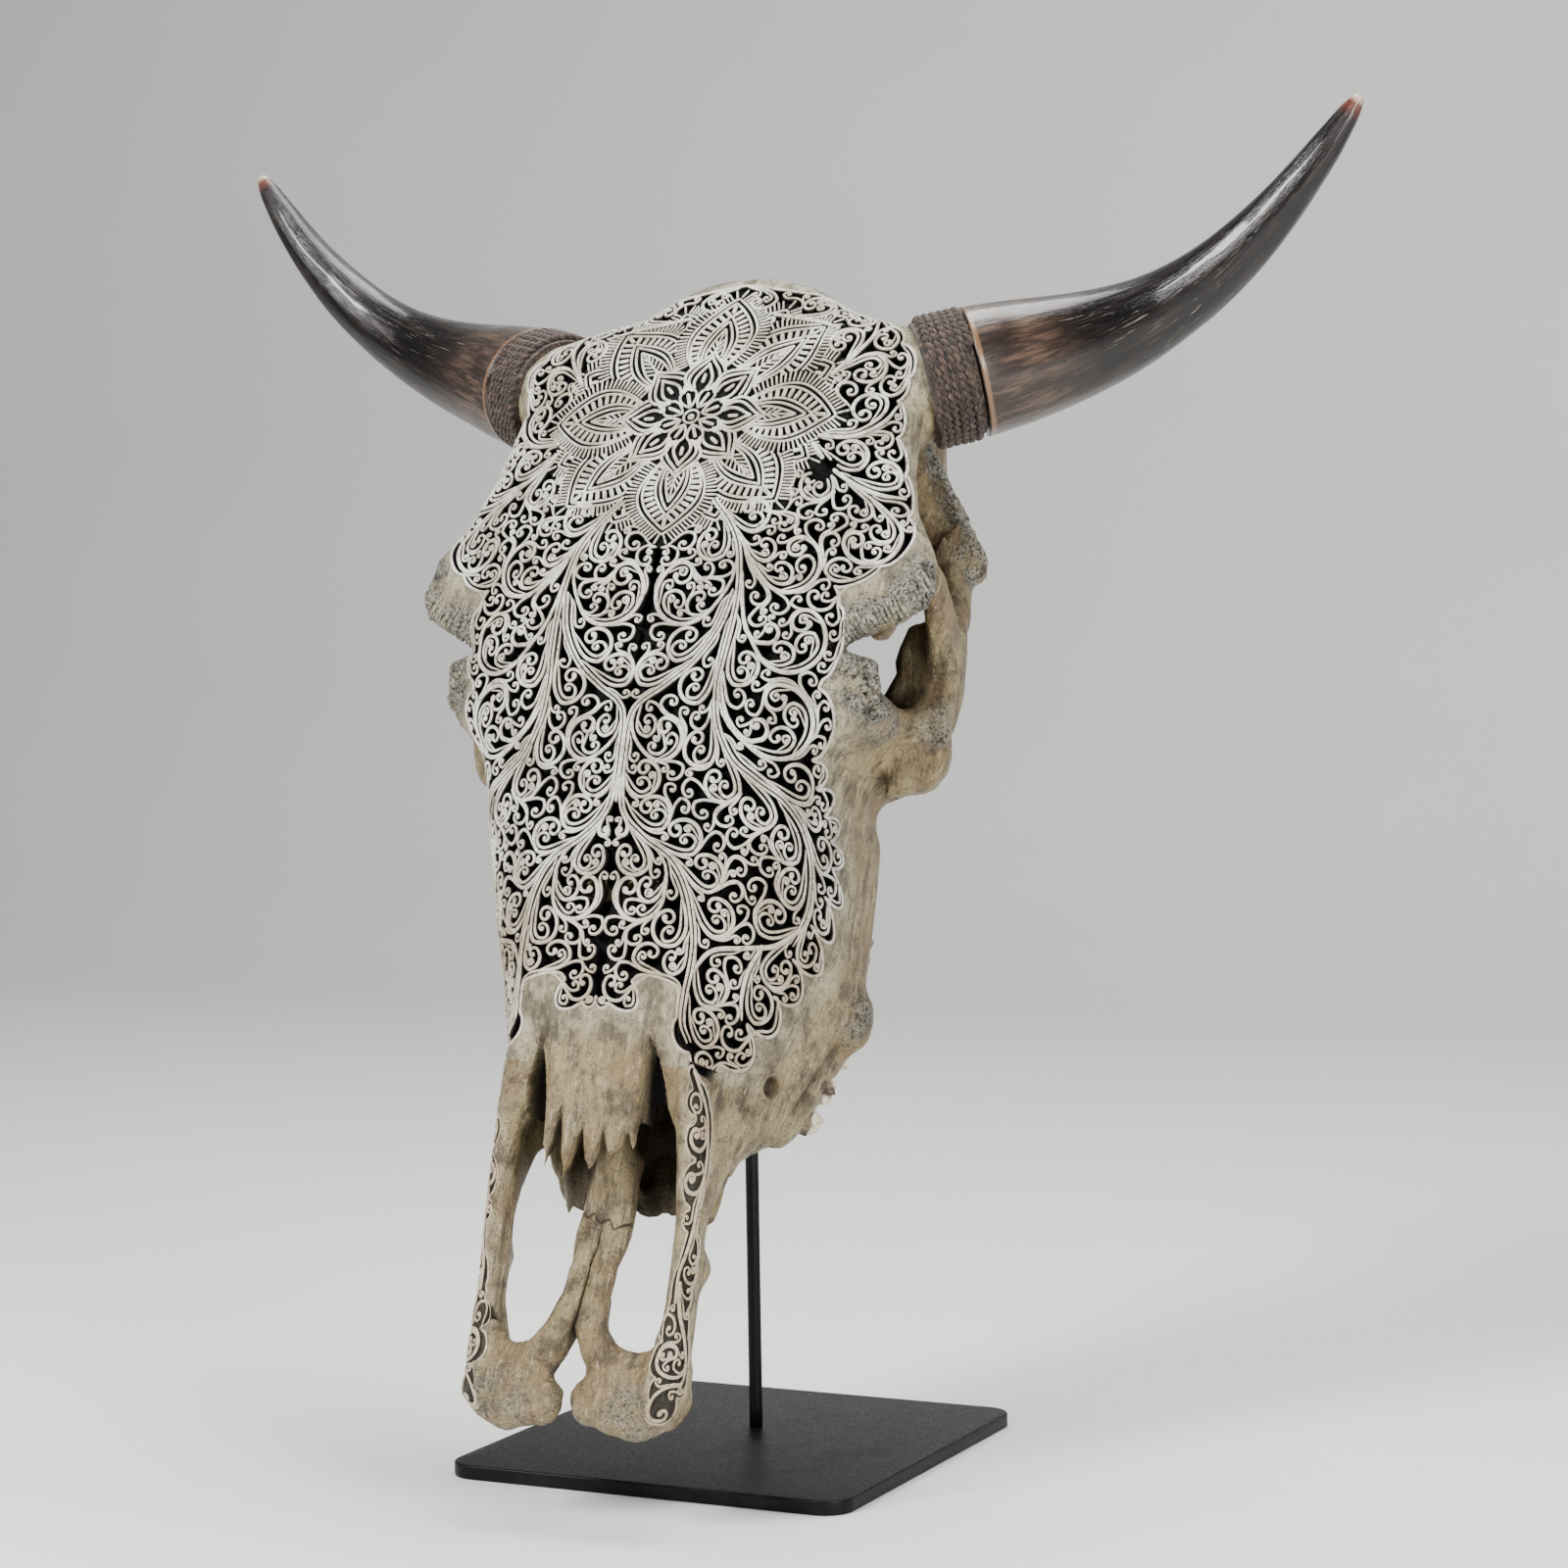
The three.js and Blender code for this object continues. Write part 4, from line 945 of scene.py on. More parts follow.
stripStems = {
    "high": [(-7.5, 151), (-3.5, 145.5), (2.2, 138), (5.2, 126), (3.4, 112), (1.0, 101), (0.2, 92),
             (-2.2, 82), (-4.6, 74), (-4.4, 63)],
    "low": [(-3.4, 70), (-1.4, 59), (3.0, 50), (6.8, 41), (5.6, 33.4), (0.0, 31.6)],
}
stripScrolls = [(-2.8, 22.2, 7.0, "low", 3), (-3.6, 40.6, 6.6, "low", 14), (-2.4, 126.0, 5.2, "high", 10),
                (-3.0, 108.6, 4.6, "high", 10)]


# the strip is narrowed, and shifted to the side of the bar that faces forward
stripFit = {"narrow": 0.8, "shift": -2.0}


def drawStrip():
    border = edgeLine(stripEdge, plan["step"])
    room = Room(border, (-20, 0), (40, 160))
    room.add(border, plan["strand"] * 0.5)
    paths = [strand(border, np.full(len(border), 0.7), "edge")]
    layStems(room, paths, stripStems, lambda name, count: np.linspace(1.25, 0.85, count), stripScrolls, 0.95)
    s, u, r = stripScrolls[0][:3]
    room.free[np.hypot(room.s - s, room.u - u) < r - 1] = -1.0
    fillWithScrolls(room, paths)
    return room, paths


room, lacePaths, flowerStrokes = drawLace()
strip, stripPaths = drawStrip()
print("carving planned", len(lacePaths), "scrolls in a half,", len(flowerStrokes), "strokes in the flower,",
      len(stripPaths), "on the jaw bone")


# The bone is cut back inside the lace and a little under the flower, weathered, and painted darker where
# shade falls in its hollows and openings

def openness(points, mesh, rays=14, reach=55.0):
    # share of the directions above each point that reach open air
    tree = treeOf(points, mesh)
    golden = math.pi * (3 - math.sqrt(5))
    fan = []
    for k in range(rays):
        r = math.sqrt((k + 0.5) / rays) * 0.96
        fan.append((r * math.cos(golden * k), r * math.sin(golden * k), math.sqrt(1 - r * r)))
    free = np.zeros(len(points))
    for i, (p, n) in enumerate(zip(points, normalsOf(mesh))):
        up = Vector(n)
        side = up.orthogonal().normalized()
        over = up.cross(side)
        start = Vector(p) + up * 0.6
        for a, b, c in fan:
            if tree.ray_cast(start, side * a + over * b + up * c, reach)[0] is None:
                free[i] += 1
    return free / rays


def carved(p, n):
    # how far inside the lace's edge each point lies, under the flower and inside a jaw strip; and the way out
    s, u, near, out = face.find(p, n, 3.2)
    toEdge = np.where(near, room.look(room.toEdge, np.abs(s), u, -20.0), -20.0)
    inFlower = np.where(near, room.look(room.flower, np.abs(s), u, 0.0), 0.0)
    inStrip = np.full(len(p), -20.0)
    for side, bar in jawBars.items():
        t, z, near, barOut = bar.find(p, n, 3.5)
        near &= (p[:, 0] * side > 4) & (p[:, 2] < 157) & (np.abs(t) < 13)
        t = (t * side - stripFit["shift"]) / stripFit["narrow"]
        mine = np.where(near, strip.look(strip.toEdge, t, z, -20.0), -20.0)
        out = np.where((mine > -2)[:, None] & (toEdge < 0)[:, None], barOut, out)
        inStrip = np.maximum(inStrip, mine)
    return toEdge, inFlower, inStrip, out


def thinned(mesh, values, most):
    # brings the mesh down to this many triangles, by thinning where values are near 1
    obj = linked("working", mesh)
    group = obj.vertex_groups.new(name="thin")
    have = sum(len(p.vertices) - 2 for p in mesh.polygons)
    values = np.round(values, 1)
    for level in np.unique(values[values > 0]):
        group.add(np.flatnonzero(values == level).tolist(), float(level), "REPLACE")
    mod = obj.modifiers.new("thin", "DECIMATE")
    mod.ratio, mod.vertex_group, mod.vertex_group_factor = min(most / have, 1.0), group.name, 1.0
    return settled(obj)


setPoints(skullMesh, skullPoints)
openAir = openness(skullPoints, skullMesh)
paint(skullMesh, "open", openAir)
print("openness found")
skullMesh = thinned(skullMesh, ease(0.2, 0.02, openAir), bone["coarse"])
print("inside thinned", len(skullMesh.polygons))

# places that are pitted, holed or cut by a groove, in the bone's frame; each is mirrored
marks = {
    "browRim": [(80, 12, 317), (94, 11, 325), (110, 14, 335), (115, 17, 350)],
    "tearRim": [(80, 10, 308), (91, 13, 306), (97, 24, 299), (97, 36, 295)],
    "crest": [(74, 74, 438), (82, 84, 424), (90, 92, 408), (98, 100, 390)],
    # centre, radius and how rough
    "rough": [((96, 98, 389), 16, 0.9), ((80, 89, 188), 15, 0.55), ((107, 62, 303), 14, 0.5),
              ((28, 50, 16), 19, 0.4)],
    # centre, direction in, radius and depth
    "holes": [((59.5, 62, 151), (-0.95, 0.2, 0.2), 4.6, 4.2),
              ((94.5, 17, 301), (-0.72, 0.62, 0.32), 2.0, 4.5)],
    # the pointed gap beside the nose bones: x, z and half width down its middle
    "gap": [(24.3, 156, 0.5), (24.8, 152, 1.7), (25.2, 147, 3.2), (25.6, 141, 4.4), (26.2, 130, 5.4),
            (27, 104, 5.4)],
    "deep": {"gap": 9.0, "crack": 0.9, "groove": 1.3},
    "crack": [(-12, 96), (-7, 92), (-4, 94), (-1, 90), (3, 92), (6, 88), (11, 91)],
    "toothGrooves": [[(58, 88, 146), (66, 92, 170), (76, 96, 196)],
                     [(60, 82, 147), (69, 86, 172), (78, 92, 196)]],
}


def mirrored(p):
    return np.c_[np.abs(p[:, 0]), p[:, 1], p[:, 2]]


def noseGap(q):
    # distance from the middle of the gap beside the nose bones, over its half width there
    x, z, wide = np.array(marks["gap"][::-1]).T
    across = np.abs(q[:, 0] - np.interp(q[:, 2], z, x)) / np.interp(q[:, 2], z, wide)
    return np.where((q[:, 2] > z[0]) & (q[:, 2] < z[-1] + 1), across, 9.0)


def crackAt(p):
    x, z = np.array(marks["crack"]).T
    return np.abs(p[:, 2] - np.interp(p[:, 0], x, z)) + 9 * (np.abs(p[:, 0]) > 12)


def refined(mesh):
    bm = opened(mesh)
    p = pointsOf(mesh)
    toEdge, _, inStrip, _ = carved(p, normalsOf(mesh))
    fine = (np.abs(toEdge) < 2.3) | (np.abs(inStrip - 1.0) < 3.5)
    q = mirrored(p)
    for rim in ("browRim", "tearRim"):
        fine |= nearLine(q, marks[rim]) < 6
    fine |= (np.abs(noseGap(q) - 1) < 0.7) & (p[:, 1] < 45)
    fine |= (crackAt(p) < 3.5) & (p[:, 1] < 56)
    for at, _, r, _ in marks["holes"]:
        fine |= np.linalg.norm(q - at, axis=1) < r * 1.9
    bm.verts.ensure_lookup_table()
    band = [e for e in bm.edges if fine[e.verts[0].index] and fine[e.verts[1].index]]
    bmesh.ops.subdivide_edges(bm, edges=band, cuts=2, use_grid_fill=True)
    bmesh.ops.triangulate(bm, faces=[f for f in bm.faces if len(f.verts) > 4])
    return meshFrom(bm, "skull_bone")


def weatheredAndShaded(mesh):
    # sinks the carved areas, roughens, holes and cracks the bone, and paints shade into its hollows and
    # openings
    p, n = pointsOf(mesh), normalsOf(mesh)
    toEdge, inFlower, inStrip, out = carved(p, n)
    sunk = ease(-0.2, 0.75, toEdge) * (bone["recess"] * (1 - inFlower) + bone["relief"] * inFlower)
    sunk = np.maximum(sunk, bone["strip"] * ease(-0.2, 0.6, inStrip))
    q = mirrored(p)
    rims = np.minimum(nearLine(q, marks["browRim"]), nearLine(q, marks["tearRim"]))
    rugged = np.maximum(ease(17, 5, rims), ease(11, 3, nearLine(q, marks["crest"])) * 0.9)
    for at, r, much in marks["rough"]:
        rugged = np.maximum(rugged, ease(r, r * 0.3, np.linalg.norm(q - at, axis=1)) * much)
    rugged *= ease(-0.55, 0.15, cloud(p, 11.0, 21.0, 3))
    openAir = read(mesh.attributes["open"].data, "value", 1).ravel()
    # painted shade: the less open air reaches a point, the darker it is painted, as shade in hollows
    shaded_hollows = np.maximum(ease(0.36, 0.04, openAir) * 0.85, 0.3 * ease(0.8, 0.4, openAir))
    free = clamp01(1 - sunk)
    columns = cloud(p * (1, 1, 0.3), 2.3, 5.0, 3)
    done = p + n * (rugged * free * (0.95 * columns + 0.5 * cloud(p, 4.5, 8.0, 3)))[:, None]
    # painted shade in the low spots between the rough columns
    shaded_hollows = np.maximum(shaded_hollows, rugged * ease(0.05, -0.45, columns) * 0.8)
    for at, into, r, deep in marks["holes"]:
        away = q - at
        into = unit(np.array(into))
        flat = np.linalg.norm(away - (away @ into)[:, None] * into, axis=1) / r
        inside = ease(1.05, 0.6, flat) * (np.abs(away @ into) < 7)
        done += (inside * deep)[:, None] * into * np.c_[np.sign(p[:, 0]), np.ones(len(p)), np.ones(len(p))]
        # painted shade inside the holes
        shaded_hollows = np.maximum(shaded_hollows, inside * 0.9)
        done += n * (0.5 * ease(0.4, 0.0, np.abs(flat - 1.15)) * (np.abs(away @ into) < 7))[:, None]
    for line in marks["toothGrooves"]:
        groove = ease(3.2, 0.3, nearLine(q, line))
        done -= n * (marks["deep"]["groove"] * groove)[:, None]
        # painted shade along the grooves beside the teeth
        shaded_hollows = np.maximum(shaded_hollows, groove * 0.7)
    gap = ease(1.08, 0.93, noseGap(q)) * (p[:, 1] < 45)
    done[:, 1] += gap * marks["deep"]["gap"]
    crack = ease(0.9, 0.2, crackAt(p)) * (p[:, 1] < 56)
    done -= n * (marks["deep"]["crack"] * crack)[:, None]
    # painted shade along the crack
    shaded_hollows = np.maximum(shaded_hollows, crack * 0.9)
    # painted shade inside the nose cavity
    inNose = ease(60, 66, p[:, 1]) * ease(150, 128, p[:, 2]) * ease(30, 24, np.abs(p[:, 0]))
    shaded_hollows = np.maximum(shaded_hollows, inNose * 0.75)
    done = done - out * sunk[:, None]
    toEdge = np.maximum(toEdge, inStrip - 9)
    paint(mesh, "shaded_hollows", shaded_hollows)
    # painted shade: near black over the sunken bed inside the lace's edge, in the jaw strips and in the gap
    # beside the nose bones
    paint(mesh, "shadowed_bed",
          np.maximum.reduce([ease(0.0, 0.9, toEdge), ease(-0.1, 0.6, inStrip) * 0.84, gap * 0.97]))
    crown = ease(440, 475, p[:, 2])
    paint(mesh, "silver", np.maximum.reduce([ease(-18, -1, toEdge) * 0.6, rugged * 0.6, crown]))
    paint(mesh, "rugged", rugged)
    setPoints(mesh, toStand(done))


def withoutCrumbs(mesh):
    # drops loose bits that have only a few points each
    bm = opened(mesh)
    seen, crumbs = set(), []
    for first in bm.verts:
        if first in seen:
            continue
        seen.add(first)
        bit = [first]
        for v in bit:
            fresh = {e.other_vert(v) for e in v.link_edges} - seen
            seen |= fresh
            bit += fresh
        if len(bit) < bone["crumb"]:
            crumbs += bit
    bmesh.ops.delete(bm, geom=crumbs, context="VERTS")
    print("crumbs dropped", len(crumbs), "points")
    return stored(bm, mesh)


skullMesh = refined(skullMesh)
weatheredAndShaded(skullMesh)
skullMesh = withoutCrumbs(thinned(skullMesh, np.ones(len(skullMesh.vertices)), bone["most"]))
place("skull_bone", skullMesh, boneFinish, "bone", "skull")
print("bone done", len(skullMesh.polygons))

# Ribbons: strokes are drawn flat on the plan, take their cross-section there and are bent onto the face

ribbon = {"section": [(0, 0), (0.5, -0.07), (0.83, -0.27), (1.0, -0.66), (0.92, -3.6), (-0.92, -3.6),
                      (-1.0, -0.66), (-0.83, -0.27), (-0.5, -0.07)],
          "proud": 0.3, "spot": (64, 394, 5.5)}


def circle(n):
    return [(math.cos(2 * math.pi * k / n), math.sin(2 * math.pi * k / n)) for k in range(n)]


def roundedEnds(p, half):
    first, last = unit(p[0] - p[1]), unit(p[-1] - p[-2])
    a, b = half[0], half[-1]
    p = np.vstack([p[0] + first * 0.92 * a, p[0] + first * 0.55 * a, p, p[-1] + last * 0.55 * b,
                   p[-1] + last * 0.92 * b])
    return p, np.r_[0.39 * a, 0.83 * a, half, 0.83 * b, 0.39 * b]


def sweep(name, lines, section):
    # lines of (points, radii) as one mesh, and the point and section corner that each vertex stands for;
    # both ends run out to a radius of zero, and close when the mesh is welded
    outline = bpy.data.curves.new(name + "_section", "CURVE")
    outline.dimensions = "2D"
    ring = outline.splines.new("POLY")
    ring.points.add(len(section) - 1)
    ring.points.foreach_set("co", np.array([(x, y, 0, 1) for x, y in section], np.float32).ravel())
    ring.use_cyclic_u = True
    shape = linked(name + "_section", outline)
    curve = bpy.data.curves.new(name, "CURVE")
    curve.dimensions, curve.twist_mode = "3D", "Z_UP"
    curve.bevel_mode, curve.bevel_object = "OBJECT", shape
    which, first = [], 0
    for p, radii in lines:
        ends = [unit(e - f) * 0.02 for e, f in ((p[0], p[1]), (p[-1], p[-2]))]
        long = np.vstack([p[0] + ends[0], p, p[-1] + ends[1]])
        spline = curve.splines.new("POLY")
        spline.points.add(len(long) - 1)
        spline.points.foreach_set("co", np.c_[long, np.ones(len(long))].astype(np.float32).ravel())
        spline.points.foreach_set("radius", np.r_[0, radii, 0].astype(np.float32))
        which.append(first + np.clip(np.arange(len(long)) - 1, 0, len(p) - 1))
        first += len(p)
    mesh = settled(linked(name, curve), shape)
    mesh.name = name
    which = np.concatenate(which)
    return mesh, np.repeat(which, len(section)), np.tile(np.arange(len(section)), len(which))


def welded(mesh):
    bm = opened(mesh)
    bmesh.ops.remove_doubles(bm, verts=bm.verts, dist=2e-7)
    bmesh.ops.dissolve_degenerate(bm, edges=bm.edges, dist=1e-8)
    bmesh.ops.recalc_face_normals(bm, faces=bm.faces)
    return stored(bm, mesh)


def carve(name, strokes, seed, deepest=3.6, patch=face, tan=0.0):
    # strokes of (points, half widths, height above the face)
    lines, lifts = [], []
    for p, half, high in strokes:
        p, half = roundedEnds(p, np.broadcast_to(half, len(p)))
        high = np.broadcast_to(high, len(p) - 4)
        lines.append((np.c_[p, np.zeros(len(p))], half))
        lifts.append(np.r_[high[0], high[0], high, high[-1], high[-1]])
    mesh, which, corner = sweep(name, lines, ribbon["section"])
    flat = pointsOf(mesh)
    drop = np.maximum(np.array([h for _, h in ribbon["section"]])[corner], -deepest)
    high = np.concatenate(lifts)[which]
    s, u = flat[:, 0], flat[:, 1]
    warp = np.c_[s, u, np.full(len(s), seed)]
    s, u = s + 0.35 * cloud(warp, 26.0, seed, 2), u + 0.35 * cloud(warp, 26.0, seed + 9, 2)
    if patch is not face:
        s = s * stripFit["narrow"] + math.copysign(1, patch.facing) * stripFit["shift"]
    done = patch.lift(s, u, drop + high + ribbon["proud"])
    setPoints(mesh, toStand(done))
    # how far below the ribbon's top each point lies, which the lace finish turns into painted shade on the
    # flanks
    paint(mesh, "depth", clamp01(-drop / 3.6))
    paint(mesh, "tan", clamp01(tan + ease(262, 178, u) * 0.75 + 0.5 * cloud(done, 38.0, seed, 2)))
    place(name, welded(mesh), laceFinish, "bone")
    return mesh


def beside(p, by):
    t = headings(p)
    return p + np.c_[-t[:, 1], t[:, 0]] * by


def laceStrokes(side):
    heights = {"edge": 0.25, "stem": 0.7, "big": 0.5, "curl": 0.15}
    out = []
    for path in lacePaths:
        if path["kind"] == "rim":
            continue
        p, half, high = path["p"], path["w"], np.full(len(path["p"]), heights[path["kind"]])
        if path["kind"] in ("curl", "big"):
            high = high + np.linspace(-0.15, 0.25, len(p))
        twins = [(p, half)]
        if path["kind"] == "stem" and half[0] > 1.2:
            twins = [(beside(p, by), half * 0.45) for by in (0.78, -0.78)]
        for q, w in twins:
            q = q * (side, 1)
            if side > 0:
                s0, u0, r = ribbon["spot"]
                gone = np.hypot(q[:, 0] - s0, q[:, 1] - u0) < r + np.sin(q[:, 0] * 2.1 + q[:, 1] * 1.3)
                if gone.any():
                    kept = np.flatnonzero(~gone)
                    for run in np.split(kept, np.flatnonzero(np.diff(kept) > 1) + 1):
                        if len(run) > 2:
                            out.append((q[run], w[run], high[run]))
                    continue
            out.append((q, w, high))
    return out


for side, label in sides:
    strokes = laceStrokes(side)
    for part, low, high in (("brow", 345, 600), ("cheek", 255, 345), ("nose", 0, 255)):
        mine = [k for k in strokes if low <= k[0][:, 1].mean() < high]
        made = carve("carving_%s_%s" % (part, label), mine, side * 3.7 + 11)
        print("carved", part, label, len(mine), "strokes", len(made.polygons), "faces")
made = carve("carving_flower", [(p, w, 0.1) for p, w in flowerStrokes], 2.0, 1.9)
print("carved flower", len(made.polygons), "faces")
for side, label in sides:
    heights = {"edge": 0.05, "stem": 0.35, "big": 0.2, "curl": 0.1}
    strokes = [(k["p"] * (side, 1), k["w"], heights[k["kind"]] - 0.15) for k in stripPaths]
    carve("carving_jaw_" + label, strokes, side * 2.3, 1.3, jawBars[side], 0.9)

# Flutes and knobs along the edges of the eye hollow

edges = {"brow": {"line": [(76, 12, 316), (84, 8, 320), (94, 9, 326), (102, 11, 330), (109, 13, 334),
                           (115, 15, 345)],
                  "way": (0.50, 0, -0.86), "gap": 1.75, "radius": (0.55, 1.05), "run": (-8.5, 2.6)},
         "tear": {"line": [(80, 9, 310), (86, 11, 309), (92, 14, 306), (96, 22, 300), (98, 32, 296)],
                  "way": (0.72, 0, 0.69), "gap": 2.5, "radius": (1.0, 1.7), "run": (-3.5, 1.4)}}


def makeEdges(side, label):
    random = np.random.default_rng(5 + side)
    tree = treeOf(toBone(pointsOf(skullMesh)), skullMesh)
    lines = []
    for edge in edges.values():
        line = np.array(edge["line"], float)
        run = lengthAlong(line)
        at = 0.0
        while at < run[-1]:
            foot = columnsAt(at, run, line)
            way = unit(np.array(edge["way"]) + (random.normal(0, 0.12), 0, 0))
            ends = np.array(edge["run"]) * random.uniform(0.6, 1.1, 2)
            path, back = [], None
            for a in np.arange(ends[0], ends[1], 0.7):
                spot = foot + way * a
                before = Vector((spot[0] * side, spot[1] - 14, spot[2]))
                hit, n = tree.ray_cast(before, Vector((0, 1, 0)), 26)[:2]
                if hit and (back is None or abs(hit[1] - back) < 2.5):
                    back = hit[1]
                    path.append(np.array(hit) + np.array(n) * 0.1)
                elif back is not None:
                    back += 0.35
                    path.append(np.array((spot[0] * side, back, spot[2])))
            if len(path) > 3:
                t = np.linspace(0, 1, len(path))
                size = random.uniform(*edge["radius"])
                lines.append((np.array(path), size * np.interp(t, (0, 0.3, 0.8, 1), (0.35, 0.85, 1.1, 0.6))))
            at += edge["gap"] * random.uniform(0.75, 1.35)
    mesh, which, corner = sweep("eye_edge_" + label, lines, circle(8))
    p = pointsOf(mesh)
    p += 0.3 * np.c_[cloud(p, 1.9, 3.0, 3), cloud(p, 1.9, 7.0, 3), cloud(p, 1.9, 11.0, 3)]
    for name, value in (("shaded_hollows", 0.0), ("shadowed_bed", 0.0), ("silver", 0.75), ("rugged", 0.55)):
        paint(mesh, name, np.full(len(p), value))
    setPoints(mesh, toStand(p))
    place("eye_edge_" + label, welded(mesh), boneFinish, "bone")


for side, label in sides:
    makeEdges(side, label)
print("jaw carving and eye edges")

# Horns: a tapered sweep along the solid horn's own line

horn = {"line": [(102.5, 51.5, 455), (157.2, 73.7, 479.7), (202.1, 58.1, 477.7), (258.2, 33.7, 558.4)],
        "radii": [(0, 27.2), (0.12, 25.2), (0.25, 21.9), (0.5, 15.3), (0.75, 10.7), (0.93, 6.6),
                  (0.985, 4.4), (1, 3.0)],
        "rings": 220, "round": 56, "axis": (54.7, 22.2, 24.7)}


def bezierAt(line, t):
    a, b, c, d = np.array(line, float)
    t = np.asarray(t)[:, None]
    return a * (1 - t) ** 3 + 3 * b * t * (1 - t) ** 2 + 3 * c * t * t * (1 - t) + d * t ** 3


def makeHorn(side, label):
    t = np.linspace(0, 1, horn["rings"])
    p = bezierAt(horn["line"], t)
    r = np.interp(t, *zip(*horn["radii"]))
    for _ in range(6):
        r[1:-1] = r[1:-1] * 0.5 + (r[:-2] + r[2:]) * 0.25
    run = lengthAlong(p)
    # the tip is rounded off and the root turned in
    end, tip, last = p[-1], unit(p[-1] - p[-2]), r[-1]
    for a in np.radians((22, 45, 66, 84)):
        p = np.vstack([p, end + tip * math.sin(a) * last])
        r = np.r_[r, last * math.cos(a)]
        run = np.r_[run, run[-1] + 0.8]
    mesh, ring, corner = sweep("horn_" + label, [(p * (side, 1, 1), r)], circle(horn["round"]))
    done = pointsOf(mesh)
    turn = corner * 2 * math.pi / horn["round"]
    along = run[ring] / run[-1]
    paint(mesh, "along", along)
    paint(mesh, "grainAt", np.c_[np.cos(turn) * 9 + 40 * side, np.sin(turn) * 9, run[ring] * 0.045])
    swell = 0.25 * cloud(np.c_[np.cos(turn) * 20, np.sin(turn) * 20, run[ring] * 0.25], 9.0, side * 5.0, 3)
    swell *= ease(1.0, 0.9, along) * ease(0.0, 0.01, along)
    setPoints(mesh, toStand(done + unit(done - (p * (side, 1, 1))[ring]) * swell[:, None]))
    place("horn_" + label + "_polished", welded(mesh), hornFinish, "horn", "horn_" + label)


for side, label in sides:
    makeHorn(side, label)
print("horns")

# Cord wraps: one long cord of two twisted strands, wound round the root of each horn

wrap = {"radius": 25.9, "rows": 6, "pitch": 3.7, "low": -22.4, "strand": 1.12, "core": 0.92, "twist": 7.4,
        "step": 0.8, "round": 7, "sleeve": 25.3, "sleeveLong": 21.2, "sleeveMiddle": 11.1}


def makeWrap(side, label):
    axis = unit(np.array(horn["axis"]))
    across = unit(np.cross(axis, (0, 0, 1.0)))
    over = np.cross(axis, across)
    length = 2 * math.pi * wrap["radius"] * wrap["rows"]
    run = np.arange(0, length, wrap["step"])
    turn = run / wrap["radius"]
    lines = []
    for k in range(2):
        twist = 2 * math.pi * (run / wrap["twist"] + k / 2)
        loose = 0.25 * np.sin(turn * 0.37 + 1.0)
        loose += 0.45 * ease(5.0, 6.0, turn / 2 / math.pi) * np.sin(turn * 2 + 0.6)
        r = wrap["radius"] + wrap["core"] * np.cos(twist) + np.abs(loose) * 0.7
        at = wrap["low"] + wrap["pitch"] * (0.5 + turn / 2 / math.pi * (wrap["rows"] - 1) / wrap["rows"])
        at = at + wrap["core"] * np.sin(twist) + loose * 0.6
        p = (np.array(horn["line"][0]) + axis * at[:, None] + across * (r * np.cos(turn))[:, None]
             + over * (r * np.sin(turn))[:, None])
        lines.append((p * (side, 1, 1), np.full(len(p), wrap["strand"])))
    mesh, which, corner = sweep("cord_" + label, lines, circle(wrap["round"]))
    at = np.tile(run, 2)[which]
    spin = corner * 2 * math.pi / wrap["round"] + at * 1.2
    paint(mesh, "grainAt", np.c_[np.cos(spin) * 1.6 + which // len(run) * 9, np.sin(spin) * 1.6, at * 0.35])
    setPoints(mesh, toStand(pointsOf(mesh)))
    place("cord_" + label, welded(mesh), cordFinish, "cord", "cord_wrap_" + label)
    # a dark sleeve under the turns, so that no bone shows between them
    bm = bmesh.new()
    lift = Vector(np.array(horn["line"][0]) + axis * (wrap["low"] + wrap["sleeveMiddle"]))
    frameOf = Matrix((across, over, axis)).transposed().to_4x4()
    bmesh.ops.create_cone(bm, cap_ends=True, segments=64, radius1=wrap["sleeve"], radius2=wrap["sleeve"],
                          depth=wrap["sleeveLong"], matrix=Matrix.Translation(lift) @ frameOf)
    rims = [e for e in bm.edges if abs(len(e.link_faces[0].verts) - len(e.link_faces[1].verts)) > 9]
    bmesh.ops.bevel(bm, geom=rims, offset=0.5, segments=2, profile=0.5, affect="EDGES")
    mesh = meshFrom(bm, "cord_sleeve_" + label)
    p = pointsOf(mesh) * (side, 1, 1)
    if side < 0:
        mesh.flip_normals()
    paint(mesh, "grainAt", p * 0.6)
    setPoints(mesh, toStand(p))
    place("cord_sleeve_" + label, mesh, cordFinish, "cord", "cord_wrap_" + label)


for side, label in sides:
    makeWrap(side, label)
print("cord wraps")

# Teeth: each solid tooth made fine, darkened and broken, with pale splinters of enamel left on its rim

tooth = {"voxel": 0.0006, "rounds": 5, "splinters": 4}


